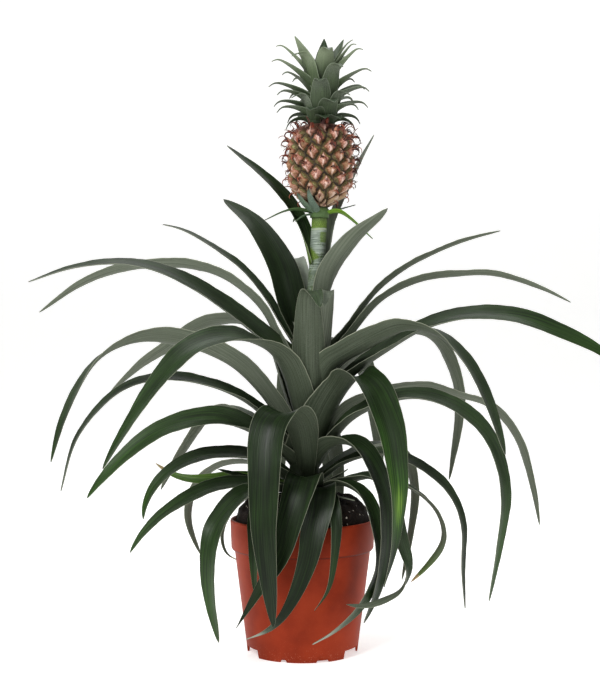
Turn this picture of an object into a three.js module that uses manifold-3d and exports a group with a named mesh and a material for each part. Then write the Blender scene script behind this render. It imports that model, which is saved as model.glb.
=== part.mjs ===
import * as THREE from "three";
import { mergeVertices } from "three/addons/utils/BufferGeometryUtils.js";
import Module from "manifold-3d";

// A pineapple plant in its nursery pot: one rosette of long channelled leaves, a stalk, a young fruit and its crown.
// Millimetres, +Z up. The origin is under the middle of the pot, on the ground. The front of the plant faces -Y.

const wasm = await Module();
wasm.setup();

const GAP = 0.35; // left between two pieces that touch on the real plant
const TURN = Math.PI * 2;
const GOLDEN_ANGLE = Math.PI * (3 - Math.sqrt(5));

// Pot
const POT_HEIGHT = 119;
const RIM_RADIUS = 65;
const RIM_HEIGHT = 27;
const BODY_TOP_RADIUS = 61.2;
const BODY_FOOT_RADIUS = 49.5;
const WALL = 1.8;
const SKIRT_HEIGHT = 8;
const PAD_RADIUS = 24;
const POT_SIDES = 32;

// Soil
const SOIL_TOP = 139;
const SOIL_SHOULDER_RADIUS = 51;
const SOIL_SIDES = 20;

// Stem: the line of its middle leans a little to +X, as x at a height, and it tapers upwards
const STEM_LEAN = [
  [120, 0],
  [200, 3],
  [250, 8],
  [300, 11],
  [350, 13],
  [400, 16],
  [560, 18],
];
const STEM_TAPER = [
  [128, 15],
  [200, 12.5],
  [260, 10],
  [310, 8.4],
  [345, 7.4],
  [400, 7.2],
];
const STEM_FOOT = 128;
const STEM_TOP = 399.6;
const STEM_SIDES = 12;

// Fruit
const FRUIT_FOOT = 400;
const FRUIT_TOP = 473;
const EYE_COUNT = 68;
const EYE_START = (-38.6 * Math.PI) / 180; // the spiral of eyes begins here and winds clockwise seen from above
const EYE_SPAN = [0.06, 0.94]; // shares of the fruit's height between which the eyes' middles lie
// neighbours of an eye along the three spirals: steps in the count, and the turn to each
const EYE_STEPS = [5, 8, 13];
const EYE_TURNS = EYE_STEPS.map((steps) => {
  const turn = (steps * GOLDEN_ANGLE) % TURN;
  return turn > Math.PI ? turn - TURN : turn;
});
// radius over the eyes at a share of the fruit's height, a barrel with a round foot
const FRUIT_PROFILE = [
  [0, 8],
  [0.05, 15],
  [0.12, 22],
  [0.25, 28.5],
  [0.5, 30.5],
  [0.75, 30],
  [0.88, 27.5],
  [0.96, 22.5],
  [1, 17],
];

// Crown
const CROWN_FOOT = 473.4;
const CROWN_TOP = 527;
const CROWN_CORE_RADIUS = 11;
// height of a crown leaf's foot, for the height of its tip
const CROWN_FEET = [
  [470, 475.5],
  [485, 480],
  [500, 489],
  [520, 499],
  [535, 507],
  [553, 513],
];
// how far a crown leaf arches over the line from its foot to its tip, for the height of its tip
const CROWN_ARCHES = [
  [470, 7],
  [485, 6],
  [509, 5],
  [547, 2],
];

// Leaves
const LEAF_STATIONS = [6, 12]; // fewest and most stations along a leaf
const STATION_SPACING = 40;
const LEAF_THICKNESS = 1.5;
const LEAF_TAPER = 0.55; // power of the fall in width towards the tip: 1 is a straight taper, less a fuller one
const LEAF_EDGE = 0.8;
const LEAF_WIDEST_AT = 0.3;
const BEND_WEIGHT = 28; // mm of length that one radian of bend counts as, where stations are shared out

// Straight-line interpolation in a list of [key, value] pairs.
function lookUp(pairs, key) {
  const last = pairs.length - 1;
  if (key <= pairs[0][0]) return pairs[0][1];
  if (key >= pairs[last][0]) return pairs[last][1];
  const i = pairs.findIndex(([k]) => k > key);
  const [k0, v0] = pairs[i - 1];
  const [k1, v1] = pairs[i];
  return v0 + ((v1 - v0) * (key - k0)) / (k1 - k0);
}

// Evenly spaced stops of a value along a leaf, read at t from 0 to 1.
function alongStops(stops, t) {
  const pairs = stops.map((value, i) => [i / Math.max(1, stops.length - 1), value]);
  return lookUp(pairs, t);
}

const stemX = (height) => lookUp(STEM_LEAN, height);
const stemRadius = (height) => lookUp(STEM_TAPER, height);
const degrees = (angle) => (angle * Math.PI) / 180;

// A geometry with only positions, each shared vertex kept once and no triangle without area.
function welded(geometry) {
  const bare = new THREE.BufferGeometry();
  bare.setAttribute("position", geometry.getAttribute("position"));
  if (geometry.index) bare.setIndex(geometry.index);
  const merged = mergeVertices(bare, 1e-3);
  const source = merged.index.array;
  const kept = [];
  for (let i = 0; i < source.length; i += 3) {
    const [a, b, c] = [source[i], source[i + 1], source[i + 2]];
    if (a !== b && b !== c && c !== a) kept.push(a, b, c);
  }
  merged.setIndex(kept);
  return merged;
}

function toSolid(geometry) {
  const clean = welded(geometry);
  const mesh = new wasm.Mesh({
    numProp: 3,
    vertProperties: new Float32Array(clean.getAttribute("position").array),
    triVerts: new Uint32Array(clean.index.array),
  });
  return new wasm.Manifold(mesh);
}

function toGeometry(solid) {
  const mesh = solid.getMesh();
  const geometry = new THREE.BufferGeometry();
  geometry.setAttribute("position", new THREE.BufferAttribute(mesh.vertProperties, 3));
  geometry.setIndex(new THREE.BufferAttribute(mesh.triVerts, 1));
  return geometry;
}

// The largest of the bodies that a cut leaves, once points that fall together are joined.
function largestBody(solid) {
  const bodies = toSolid(toGeometry(solid)).decompose();
  return bodies.reduce((best, body) => (body.volume() > best.volume() ? body : best));
}

// A closed skin over rings of equally many points, which run anticlockwise seen from the last ring.
// Each end is a fan from the corner numbered hub. From the corner numbered swap on, the quads are
// split along their other diagonal, so that both faces of a blade are split alike.
function loft(rings, { hub = 0, swap = Infinity } = {}) {
  const count = rings[0].length;
  const positions = rings.flat().flatMap((p) => [p.x, p.y, p.z]);
  const index = [];
  for (let i = 0; i + 1 < rings.length; i += 1) {
    for (let j = 0; j < count; j += 1) {
      const a = i * count + j;
      const b = i * count + ((j + 1) % count);
      if (j < swap) index.push(a, b, b + count, a, b + count, a + count);
      else index.push(a, b, a + count, b, b + count, a + count);
    }
  }
  const end = (rings.length - 1) * count;
  for (let j = 1; j + 1 < count; j += 1) {
    const [b, c] = [(hub + j) % count, (hub + j + 1) % count];
    index.push(hub, c, b);
    index.push(end + hub, end + b, end + c);
  }
  const geometry = new THREE.BufferGeometry();
  geometry.setAttribute("position", new THREE.Float32BufferAttribute(positions, 3));
  geometry.setIndex(index);
  return geometry;
}

// A turned form from [radius, height] pairs, standing on +Z.
function turned(profile, sides) {
  const points = profile.map(([radius, height]) => new THREE.Vector2(radius, height));
  return new THREE.LatheGeometry(points, sides).rotateX(Math.PI / 2);
}

const root = new THREE.Group();

function addPiece(name, geometry, colour, roughness) {
  const material = new THREE.MeshStandardMaterial({ color: colour, roughness, metalness: 0 });
  const mesh = new THREE.Mesh(geometry, material);
  mesh.name = name;
  root.add(mesh);
}

// The pot: a tapered cup with a rim band, a flat pad under its middle and a skirt with notches round its foot.
function potSolid() {
  const rimFoot = POT_HEIGHT - RIM_HEIGHT;
  const profile = [
    [0, 0],
    [PAD_RADIUS, 0],
    [PAD_RADIUS + 1, SKIRT_HEIGHT],
    [BODY_FOOT_RADIUS - WALL, SKIRT_HEIGHT],
    [BODY_FOOT_RADIUS - WALL, 0],
    [BODY_FOOT_RADIUS, 0],
    [BODY_TOP_RADIUS, rimFoot],
    [RIM_RADIUS - 2.4, rimFoot],
    [RIM_RADIUS - 0.9, rimFoot + 1.8],
    [RIM_RADIUS, POT_HEIGHT - 1.6],
    [RIM_RADIUS - 0.8, POT_HEIGHT],
    [RIM_RADIUS - 2.2, POT_HEIGHT],
    [BODY_TOP_RADIUS + 0.2, rimFoot + 2],
    [BODY_TOP_RADIUS - WALL, rimFoot - 2],
    [BODY_FOOT_RADIUS - 3, SKIRT_HEIGHT + 2],
    [PAD_RADIUS + 2.6, SKIRT_HEIGHT + 2],
    [PAD_RADIUS + 0.6, 2],
    [0, 2],
  ];
  let pot = toSolid(turned(profile, POT_SIDES));
  const notch = (from, to, height) => {
    const [a, b] = [degrees(from), degrees(to)];
    const inner = BODY_FOOT_RADIUS - WALL - 2;
    const outer = BODY_FOOT_RADIUS + 4;
    const shape = new THREE.Shape();
    shape.absarc(0, 0, outer, a, b, false);
    shape.absarc(0, 0, inner, b, a, true);
    const depth = height + 5;
    const block = new THREE.ExtrudeGeometry(shape, { depth, bevelEnabled: false, curveSegments: 4 });
    pot = pot.subtract(toSolid(block.translate(0, 0, -5)));
  };
  const sideNotches = [
    [4, 39],
    [141, 176],
    [184, 219],
    [317, 356],
  ];
  sideNotches.forEach(([from, to]) => notch(from, to, SKIRT_HEIGHT - 1));
  notch(247, 254, 2.2);
  notch(284, 298, 1.8);
  notch(72, 82, 2);
  return pot;
}

// The soil: it fills the pot and is heaped over the rim, with a lumpy top.
function soilGeometry() {
  const rimFoot = POT_HEIGHT - RIM_HEIGHT;
  const profile = [
    [0, 2.4],
    [PAD_RADIUS, 2.4],
    [PAD_RADIUS + 2.2, SKIRT_HEIGHT + 2.4],
    [BODY_FOOT_RADIUS - 3.6, SKIRT_HEIGHT + 2.4],
    [BODY_TOP_RADIUS - WALL - 0.6, rimFoot - 1.6],
    [BODY_TOP_RADIUS - 0.3, rimFoot + 2.6],
    [BODY_TOP_RADIUS + 0.9, POT_HEIGHT - 7],
    [BODY_TOP_RADIUS - 1.4, POT_HEIGHT + 0.5],
    [BODY_TOP_RADIUS - 3.6, SOIL_TOP - 10],
    [SOIL_SHOULDER_RADIUS, SOIL_TOP - 3],
    [34, SOIL_TOP - 1],
    [18, SOIL_TOP],
    [0, SOIL_TOP],
  ];
  const geometry = turned(profile, SOIL_SIDES);
  const position = geometry.getAttribute("position");
  for (let i = 0; i < position.count; i += 1) {
    const [x, y, z] = [position.getX(i), position.getY(i), position.getZ(i)];
    const radius = Math.hypot(x, y);
    if (z < POT_HEIGHT || radius < 25) continue;
    const lumps = Math.sin(x * 0.31 + 1) * Math.cos(y * 0.27 - 0.6) + 0.6 * Math.sin(x * 0.13 - y * 0.19);
    const heap = 2 * Math.exp(-((x - 32) ** 2 + (y - 22) ** 2) / 500);
    position.setZ(i, z + 1.1 * lumps + heap);
  }
  return geometry;
}

// The stem: a round core that leans and tapers, grown by a margin where it serves as a cutter.
function stemSolid(margin) {
  const heights = [STEM_FOOT, 165, 200, 240, 280, 320, 350, 375, STEM_TOP];
  const rings = heights.map((height, i) => {
    const ends = i === 0 ? -margin : i === heights.length - 1 ? margin : 0;
    const radius = stemRadius(height) + margin;
    return Array.from({ length: STEM_SIDES }, (_, j) => {
      const angle = (j / STEM_SIDES) * TURN;
      const x = stemX(height) + radius * Math.cos(angle);
      return new THREE.Vector3(x, radius * Math.sin(angle), height + ends);
    });
  });
  return toSolid(loft(rings));
}

// Stations of a leaf: points of its midline shared out by length and bend.
function leafStations(curve) {
  const [fewest, most] = LEAF_STATIONS;
  const count = Math.max(fewest, Math.min(most, Math.round(4 + curve.getLength() / STATION_SPACING)));
  const fine = 160;
  const points = curve.getSpacedPoints(fine);
  const measure = [0];
  let before = null;
  for (let i = 1; i <= fine; i += 1) {
    const step = points[i].clone().sub(points[i - 1]);
    const length = step.length();
    step.normalize();
    const bend = before ? before.angleTo(step) : 0;
    measure.push(measure[i - 1] + length + BEND_WEIGHT * bend);
    before = step;
  }
  const total = measure[fine];
  return Array.from({ length: count }, (_, k) => {
    const wanted = (total * k) / (count - 1);
    const i = Math.max(1, measure.findIndex((m) => m >= wanted - 1e-9));
    const part = (wanted - measure[i - 1]) / (measure[i] - measure[i - 1]);
    return Math.min(1, (i - 1 + part) / fine);
  });
}

// Share of a leaf's greatest width at t: a sheath at the base, its widest part, then a long taper to the tip.
function widthShare(t, base, taper) {
  if (t < LEAF_WIDEST_AT) {
    const s = t / LEAF_WIDEST_AT;
    return base + (1 - base) * s * s * (3 - 2 * s);
  }
  return Math.max(0.03, Math.pow((1 - t) / (1 - LEAF_WIDEST_AT), taper));
}

// A leaf: a channelled blade with six corners to a section.
// route: [reach from the stem, height, sway] along the leaf, in the upright plane at its azimuth.
// turn: degrees that the blade is rolled about its midline, evenly spaced from base to tip.
// fold: degrees that each half of the blade is raised, the same way.
function leafGeometry(leaf, margin) {
  const { azimuth, attach, route, width, turn = [0], fold = [46, 24, 16, 12] } = leaf;
  const { base = 1, taper = LEAF_TAPER } = leaf;
  const outward = new THREE.Vector3(Math.cos(degrees(azimuth)), Math.sin(degrees(azimuth)), 0);
  const sideways = new THREE.Vector3(-outward.y, outward.x, 0);
  const foot = new THREE.Vector3(stemX(attach), 0, 0);
  const knots = route.map(([reach, height, sway = 0]) =>
    foot.clone().addScaledVector(outward, reach).addScaledVector(sideways, sway).setZ(height),
  );
  const curve = new THREE.CatmullRomCurve3(knots, false, "centripetal");
  const rings = leafStations(curve).map((t, i, stations) => {
    const along = curve.getTangentAt(t);
    const middle = curve.getPointAt(t);
    if (i === 0) middle.addScaledVector(along, -margin);
    if (i === stations.length - 1) middle.addScaledVector(along, margin);
    const flat = sideways.clone().addScaledVector(along, -sideways.dot(along)).normalize();
    const up = along.clone().cross(flat);
    const roll = degrees(alongStops(turn, t));
    const across = flat.clone().multiplyScalar(Math.cos(roll)).addScaledVector(up, Math.sin(roll));
    const face = along.clone().cross(across);
    const half = (width * widthShare(t, base, taper)) / 2 + margin;
    const lift = degrees(alongStops(fold, t));
    const thick = LEAF_THICKNESS * (1 - 0.35 * t) + 2 * margin;
    const edge = Math.min(thick, LEAF_EDGE + 2 * margin);
    const corner = (side, raise) =>
      middle.clone().addScaledVector(across, side).addScaledVector(face, raise);
    const spread = half * Math.cos(lift);
    const raised = (half * Math.sin(lift)) / 2;
    return [
      corner(-spread, raised + edge / 2),
      corner(-spread, raised - edge / 2),
      corner(0, -raised - thick / 2),
      corner(spread, raised - edge / 2),
      corner(spread, raised + edge / 2),
      corner(0, -raised + thick / 2),
    ];
  });
  return loft(rings, { hub: 2, swap: 4 });
}

// Leaves, from the top of the stem down. Heights and reaches are in millimetres from the ground and the stem.
const LEAVES = [
  // stalk leaves beside the fruit
  {
    name: "leaf_stalk_left",
    azimuth: 168,
    attach: 350,
    route: [[3, 349, 4], [6, 362, 3], [13, 384], [22, 400], [35, 417], [51, 432], [84, 458]],
    width: 17,
    turn: [-20, -40, -40, -35],
  },
  {
    name: "leaf_stalk_right",
    azimuth: 38,
    attach: 320,
    route: [[3, 312], [7, 325], [12, 357], [16, 382], [25, 401], [37, 420], [50, 442], [70, 472]],
    width: 14,
    turn: [20, 10, 0],
    base: 0.5,
  },
  {
    name: "leaf_stalk_fan",
    azimuth: 335,
    attach: 315,
    route: [[3, 310], [9, 324], [12, 339], [21, 353], [32, 366], [45, 378], [58, 386], [70, 396]],
    width: 26,
    turn: [-20, -35, -30],
  },
  {
    name: "leaf_stalk_back",
    azimuth: 101,
    attach: 300,
    route: [[4, 268], [14, 290, 4], [27, 317, 8], [38, 343, 9], [52, 357, 8], [72, 357, 5], [95, 342, -2]],
    width: 30,
  },
  // upright leaves round the foot of the stalk
  {
    name: "leaf_upright_front",
    azimuth: 268,
    attach: 232,
    route: [[3, 226, 1], [10, 238, 2], [15, 262], [22, 293], [29, 313], [38, 325, 2], [48, 321, 8], [54, 308, 11]],
    width: 34,
  },
  {
    name: "leaf_upright_right",
    azimuth: 300,
    attach: 240,
    route: [[3, 234], [10, 246], [15, 271, 2], [20, 300, 4], [26, 318, 3], [33, 326, -1], [39, 319, -7], [42, 309, -11]],
    width: 24,
  },
  // left side
  {
    name: "leaf_left_1",
    azimuth: 155,
    attach: 280,
    route: [[3, 262], [12, 285], [23, 316], [31, 345], [45, 369], [61, 389], [92, 411]],
    width: 37,
    turn: [-20, -42, -40],
  },
  {
    name: "leaf_left_2",
    azimuth: 172,
    attach: 275,
    route: [[5, 256], [15, 275], [27, 294], [44, 322], [65, 346], [94, 367], [122, 382], [139, 386]],
    width: 15,
    turn: [-20, -25, -25],
  },
  {
    name: "leaf_left_3",
    azimuth: 188,
    attach: 255,
    route: [[5, 246], [22, 268], [44, 284], [66, 302], [101, 326], [137, 343], [172, 349], [214, 344], [251, 331]],
    width: 30,
    turn: [-25, -35, -30, -20, -15],
  },
  {
    name: "leaf_left_4",
    azimuth: 160,
    attach: 255,
    route: [[5, 250], [26, 275], [48, 311], [85, 339], [121, 350], [164, 351], [189, 349], [233, 336], [282, 307]],
    width: 21,
    turn: [10, 30, 35, 25],
  },
  {
    name: "leaf_left_5",
    azimuth: 197,
    attach: 205,
    route: [[4, 190], [16, 203], [40, 235], [63, 258], [86, 271], [116, 281], [150, 282], [185, 267], [204, 242],
      [220, 206], [228, 176]],
    width: 30,
    turn: [10, 20, 30, 40, 10, -25, -25],
  },
  {
    name: "leaf_left_6",
    azimuth: 145,
    attach: 205,
    route: [[5, 192], [13, 215], [24, 243], [38, 276], [64, 295], [98, 299], [128, 292], [169, 271], [194, 259], [240, 228]],
    width: 26,
    turn: [0, 0, 32, 32, 10],
  },
  {
    name: "leaf_left_7",
    azimuth: 222,
    attach: 215,
    route: [[3, 205], [10, 224], [20, 249], [35, 269], [58, 280], [82, 284], [106, 282], [133, 273], [153, 258],
      [173, 238], [206, 197], [219, 178]],
    width: 37,
    base: 1.15,
    turn: [5, 0, -25, -20, 0, 0],
  },
  {
    name: "leaf_left_8",
    azimuth: 183,
    attach: 190,
    route: [[5, 176], [18, 194], [45, 221], [63, 232], [83, 240], [122, 247], [156, 241], [180, 225], [206, 191],
      [219, 145]],
    width: 20,
    base: 1.25,
    turn: [-10, -28, -25],
  },
  {
    name: "leaf_left_9",
    azimuth: 197,
    attach: 180,
    route: [[4, 166], [23, 186], [40, 197], [74, 211], [97, 211], [133, 201], [162, 181], [187, 156], [196, 144]],
    width: 34,
    turn: [-10, -30, -32, -28],
  },
  {
    name: "leaf_left_10",
    azimuth: 150,
    attach: 180,
    route: [[4, 168], [26, 190], [66, 213], [83, 218], [101, 213], [126, 185], [147, 157], [160, 136]],
    width: 25,
    turn: [5, 10],
  },
  {
    name: "leaf_left_11",
    azimuth: 200,
    attach: 155,
    route: [[4, 148], [18, 161], [40, 175], [60, 179], [93, 179], [121, 169], [140, 151], [148, 131], [148, 125]],
    width: 27,
    turn: [-10, -25, -25],
  },
  {
    name: "leaf_left_12",
    azimuth: 205,
    attach: 145,
    route: [[4, 142], [20, 148], [48, 153], [86, 152], [111, 143], [136, 129], [154, 112], [163, 99]],
    width: 25,
    turn: [-10, -25, -20],
    base: 0.6,
  },
  {
    name: "leaf_left_13",
    azimuth: 168,
    attach: 150,
    route: [[4, 146], [22, 151], [64, 155], [102, 152], [124, 156], [140, 166]],
    width: 14,
    turn: [-10, -40, -60, -60, -40],
    base: 0.6,
  },
  {
    name: "leaf_left_14",
    azimuth: 145,
    attach: 150,
    route: [[4, 147], [21, 155], [55, 167], [90, 164], [109, 156], [123, 144], [133, 128], [136, 112], [133, 99],
      [120, 75]],
    width: 19,
    turn: [5, 10],
    base: 0.6,
  },
  {
    name: "leaf_left_15",
    azimuth: 228,
    attach: 145,
    route: [[4, 142], [20, 147], [54, 152], [75, 149], [91, 141], [113, 120], [119, 96], [118, 69], [111, 39],
      [107, 25]],
    width: 30,
    base: 0.6,
  },
  {
    name: "leaf_left_16",
    azimuth: 176,
    attach: 145,
    route: [[4, 143], [17, 147], [46, 154], [78, 163]],
    width: 9,
    turn: [-20, -50, -60],
    base: 0.6,
  },
  {
    name: "leaf_left_17",
    azimuth: 130,
    attach: 145,
    route: [[4, 143], [30, 150], [60, 146], [79, 134], [113, 110], [124, 88], [117, 73], [99, 69]],
    width: 9,
    base: 0.6,
  },
  // right side
  {
    name: "leaf_right_1",
    azimuth: 20,
    attach: 265,
    route: [[4, 256], [12, 269], [29, 286], [45, 305], [62, 325], [93, 348], [124, 363], [156, 375], [191, 384]],
    width: 15,
    turn: [-20, -35, -35],
  },
  {
    name: "leaf_right_2",
    azimuth: 8,
    attach: 258,
    route: [[4, 249], [17, 262], [37, 288], [59, 314], [77, 326], [106, 337], [143, 341], [171, 341], [215, 328],
      [243, 315]],
    width: 16,
    turn: [-20, -30, -30],
  },
  {
    name: "leaf_right_3",
    azimuth: 332,
    attach: 235,
    route: [[3, 228], [9, 241], [21, 260], [35, 267], [70, 284], [92, 292], [125, 286], [151, 262], [168, 233],
      [179, 204], [185, 184]],
    width: 37,
    turn: [-20, -25, -10, 10, 15],
  },
  {
    name: "leaf_right_4",
    azimuth: 350,
    attach: 222,
    route: [[4, 212], [15, 227], [38, 251], [70, 273], [105, 293], [145, 303], [187, 301], [221, 289], [257, 271],
      [278, 254]],
    width: 31,
    turn: [5, 15, 22, 35, 60, 55],
  },
  {
    name: "leaf_right_5",
    azimuth: 35,
    attach: 240,
    route: [[4, 228], [22, 246], [50, 267], [86, 283], [129, 288], [155, 276], [177, 237], [178, 203], [170, 163],
      [166, 144]],
    width: 28,
  },
  {
    name: "leaf_right_6",
    azimuth: 343,
    attach: 172,
    route: [[3, 160], [13, 174], [31, 201], [44, 213], [74, 227], [106, 232], [142, 220], [167, 196], [179, 164],
      [181, 142], [176, 103], [167, 54]],
    width: 28,
    turn: [5, 20, 25, 25, 20],
  },
  {
    name: "leaf_right_7",
    azimuth: 18,
    attach: 190,
    route: [[4, 176], [19, 193], [35, 214], [67, 227], [113, 236], [156, 227], [184, 218], [212, 188], [229, 138],
      [236, 103]],
    width: 27,
    turn: [-30, -35, -5, -8, -10],
  },
  {
    name: "leaf_right_8",
    azimuth: 348,
    attach: 155,
    route: [[4, 146], [17, 157], [38, 172], [74, 180], [110, 166], [132, 146], [143, 121], [143, 77], [145, 44]],
    width: 18,
    turn: [10, 25, 20],
    base: 0.6,
  },
  {
    name: "leaf_right_9",
    azimuth: 40,
    attach: 160,
    route: [[4, 150], [31, 164], [81, 181], [114, 179], [131, 164], [140, 134], [136, 101], [123, 49]],
    width: 19,
    base: 0.6,
  },
  {
    name: "leaf_right_10",
    azimuth: 352,
    attach: 142,
    route: [[4, 143], [17, 147], [49, 156], [63, 159], [96, 149], [117, 132], [125, 116], [126, 101], [114, 82],
      [97, 64]],
    width: 17,
    turn: [10, 20, 10, -10, -40, -60],
    base: 0.6,
  },
  {
    name: "leaf_right_11",
    azimuth: 340,
    attach: 150,
    route: [[4, 143], [16, 150], [33, 159], [42, 165]],
    width: 12,
    base: 0.6,
  },
  // front
  {
    name: "leaf_front_1",
    azimuth: 255,
    attach: 165,
    route: [[4, 150, 2], [15, 167, 5], [26, 192, 6], [38, 212, 4], [52, 220, -4], [66, 211, -12], [74, 195, -14],
      [82, 170, -13], [87, 145, -12], [91, 121, -11], [94, 71, -5], [93, 40, -2]],
    width: 37,
    fold: [36, 16, 12, 8],
    base: 0.45,
  },
  {
    name: "leaf_front_2",
    azimuth: 250,
    attach: 145,
    route: [[4, 144, 4], [20, 150, 10], [34, 162, 15], [48, 163, 18], [62, 150, 18], [71, 128, 14], [76, 102, 9],
      [79, 88, 3], [81, 72, -8], [83, 55, -18], [85, 35, -30]],
    width: 32,
    taper: 0.95,
    fold: [30, 12, 12, 8],
  },
  {
    name: "leaf_front_3",
    azimuth: 238,
    attach: 150,
    route: [[4, 142], [20, 142, -2], [38, 143, -5], [54, 141, -8], [67, 129, -8], [75, 105, -4], [77, 79, -2], [77, 58]],
    width: 16,
    base: 0.6,
  },
  {
    name: "leaf_front_4",
    azimuth: 272,
    attach: 145,
    route: [[4, 143, 4], [18, 146, 10], [34, 154, 14], [48, 150, 13], [62, 134, 10], [71, 114, 5], [75, 94, 1],
      [79, 63, -11], [82, 43, -24], [82, 35, -34], [79, 28, -51]],
    width: 28,
    taper: 1,
    fold: [30, 14, 10, 8],
  },
  {
    name: "leaf_front_5",
    azimuth: 290,
    attach: 142,
    route: [[4, 142, 2], [20, 147, 4], [40, 149, 6], [60, 138, 5], [68, 126, 5], [76, 93], [77, 67, -6],
      [74, 51, -17]],
    width: 15,
    taper: 0.9,
    base: 0.6,
  },
  {
    name: "leaf_front_6",
    azimuth: 322,
    attach: 148,
    route: [[4, 144], [21, 149], [41, 155], [55, 152], [68, 145], [75, 134], [79, 120], [83, 103], [84, 90],
      [81, 75, -2], [77, 54, -16], [70, 38, -36], [63, 30, -47], [54, 23, -57]],
    width: 21,
    base: 0.6,
  },
  {
    name: "leaf_front_7",
    azimuth: 320,
    attach: 160,
    route: [[3, 156], [10, 170], [24, 186], [43, 193], [65, 187], [79, 170], [86, 156], [91, 143], [92, 104],
      [85, 71], [79, 55], [68, 34]],
    width: 31,
  },
  {
    name: "leaf_front_8",
    azimuth: 316,
    attach: 195,
    route: [[3, 178], [10, 202, 5], [22, 228, 12], [38, 245, 14], [61, 252, 2], [80, 242], [93, 221], [102, 199], [106, 178],
      [109, 157], [109, 140], [104, 102], [93, 69]],
    width: 43,
    taper: 0.9,
    base: 1.4,
    turn: [0, 0, 0, 20, 17, 4, 0],
    fold: [40, 22, 14, 10],
  },
  {
    name: "leaf_front_9",
    azimuth: 335,
    attach: 150,
    route: [[4, 143], [21, 152], [45, 157], [69, 160], [83, 144], [94, 105], [101, 82], [99, 67, -4], [90, 58, -27],
      [75, 53, -40], [62, 55, -47]],
    width: 17,
    turn: [0, 0, 0, 20, 45, 55, 20, -35, -60, -60],
    base: 0.6,
  },
  {
    name: "leaf_front_dry",
    azimuth: 318,
    attach: 142,
    route: [[4, 144], [22, 143], [43, 142], [60, 140]],
    width: 6,
    base: 0.6,
  },
  // rear
  {
    name: "leaf_rear_1",
    azimuth: 90,
    attach: 285,
    route: [[4, 272], [14, 292], [32, 313], [62, 320], [100, 305], [135, 270], [160, 225], [172, 175]],
    width: 28,
  },
  {
    name: "leaf_rear_2",
    azimuth: 68,
    attach: 250,
    route: [[4, 240], [18, 258], [45, 274], [85, 280], [125, 268], [160, 235], [185, 185], [195, 130]],
    width: 28,
  },
  {
    name: "leaf_rear_3",
    azimuth: 100,
    attach: 250,
    route: [[4, 238], [18, 256], [45, 271], [80, 275], [115, 262], [145, 228], [165, 180], [172, 130]],
    width: 27,
  },
  {
    name: "leaf_rear_4",
    azimuth: 82,
    attach: 215,
    route: [[4, 202], [20, 222], [50, 238], [90, 238], [130, 215], [160, 175], [178, 125], [184, 70]],
    width: 28,
  },
  {
    name: "leaf_rear_5",
    azimuth: 104,
    attach: 200,
    route: [[4, 190], [22, 209], [55, 222], [95, 218], [130, 195], [155, 158], [168, 112], [172, 62]],
    width: 26,
  },
  {
    name: "leaf_rear_6",
    azimuth: 76,
    attach: 185,
    route: [[4, 174], [22, 190], [50, 202], [85, 200], [115, 180], [138, 145], [148, 100]],
    width: 24,
  },
  {
    name: "leaf_rear_7",
    azimuth: 116,
    attach: 170,
    route: [[4, 160], [22, 175], [50, 185], [80, 181], [105, 159], [118, 125], [122, 85]],
    width: 24,
  },
  {
    name: "leaf_rear_8",
    azimuth: 88,
    attach: 160,
    route: [[4, 150], [22, 162], [50, 169], [80, 161], [102, 135], [112, 100], [115, 60]],
    width: 22,
    base: 0.6,
  },
];

// Small leaves that grow in one ring just under the fruit.
const BRACTS = [
  { azimuth: 250, route: [[5, 394], [12, 398], [22, 402], [31, 413]], width: 9 },
  { azimuth: 196, route: [[5, 394], [16, 398], [30, 397], [51, 387]], width: 9 },
  { azimuth: 205, route: [[5, 393], [14, 394], [24, 386]], width: 6 },
  { azimuth: 222, route: [[5, 394], [13, 398], [21, 402], [27, 411]], width: 11 },
  { azimuth: 354, route: [[5, 394], [16, 398], [28, 390], [48, 371]], width: 11 },
  { azimuth: 15, route: [[5, 394], [20, 399], [34, 403]], width: 6 },
  { azimuth: 122, route: [[5, 394], [16, 398], [32, 398], [46, 390]], width: 9 },
  { azimuth: 84, route: [[5, 394], [16, 398], [30, 400], [42, 396]], width: 8 },
];

const eyeShare = (count) => EYE_SPAN[0] + ((EYE_SPAN[1] - EYE_SPAN[0]) * (count + 0.5)) / EYE_COUNT;

// A point of the fruit's skin at a count up the spiral and a turn round it, raised by a margin.
// Past the last eyes the skin closes to a point at the foot or the top.
function fruitPoint(count, angle, raise) {
  const share = eyeShare(count);
  const closed = share < 0.015 || share > 0.985;
  const z = FRUIT_FOOT + (closed ? Math.round(share) : share) * (FRUIT_TOP - FRUIT_FOOT);
  const radius = closed ? 0 : lookUp(FRUIT_PROFILE, share) + raise;
  const turned = EYE_START - angle;
  return new THREE.Vector3(stemX(z) + radius * Math.cos(turned), radius * Math.sin(turned), z);
}

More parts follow.
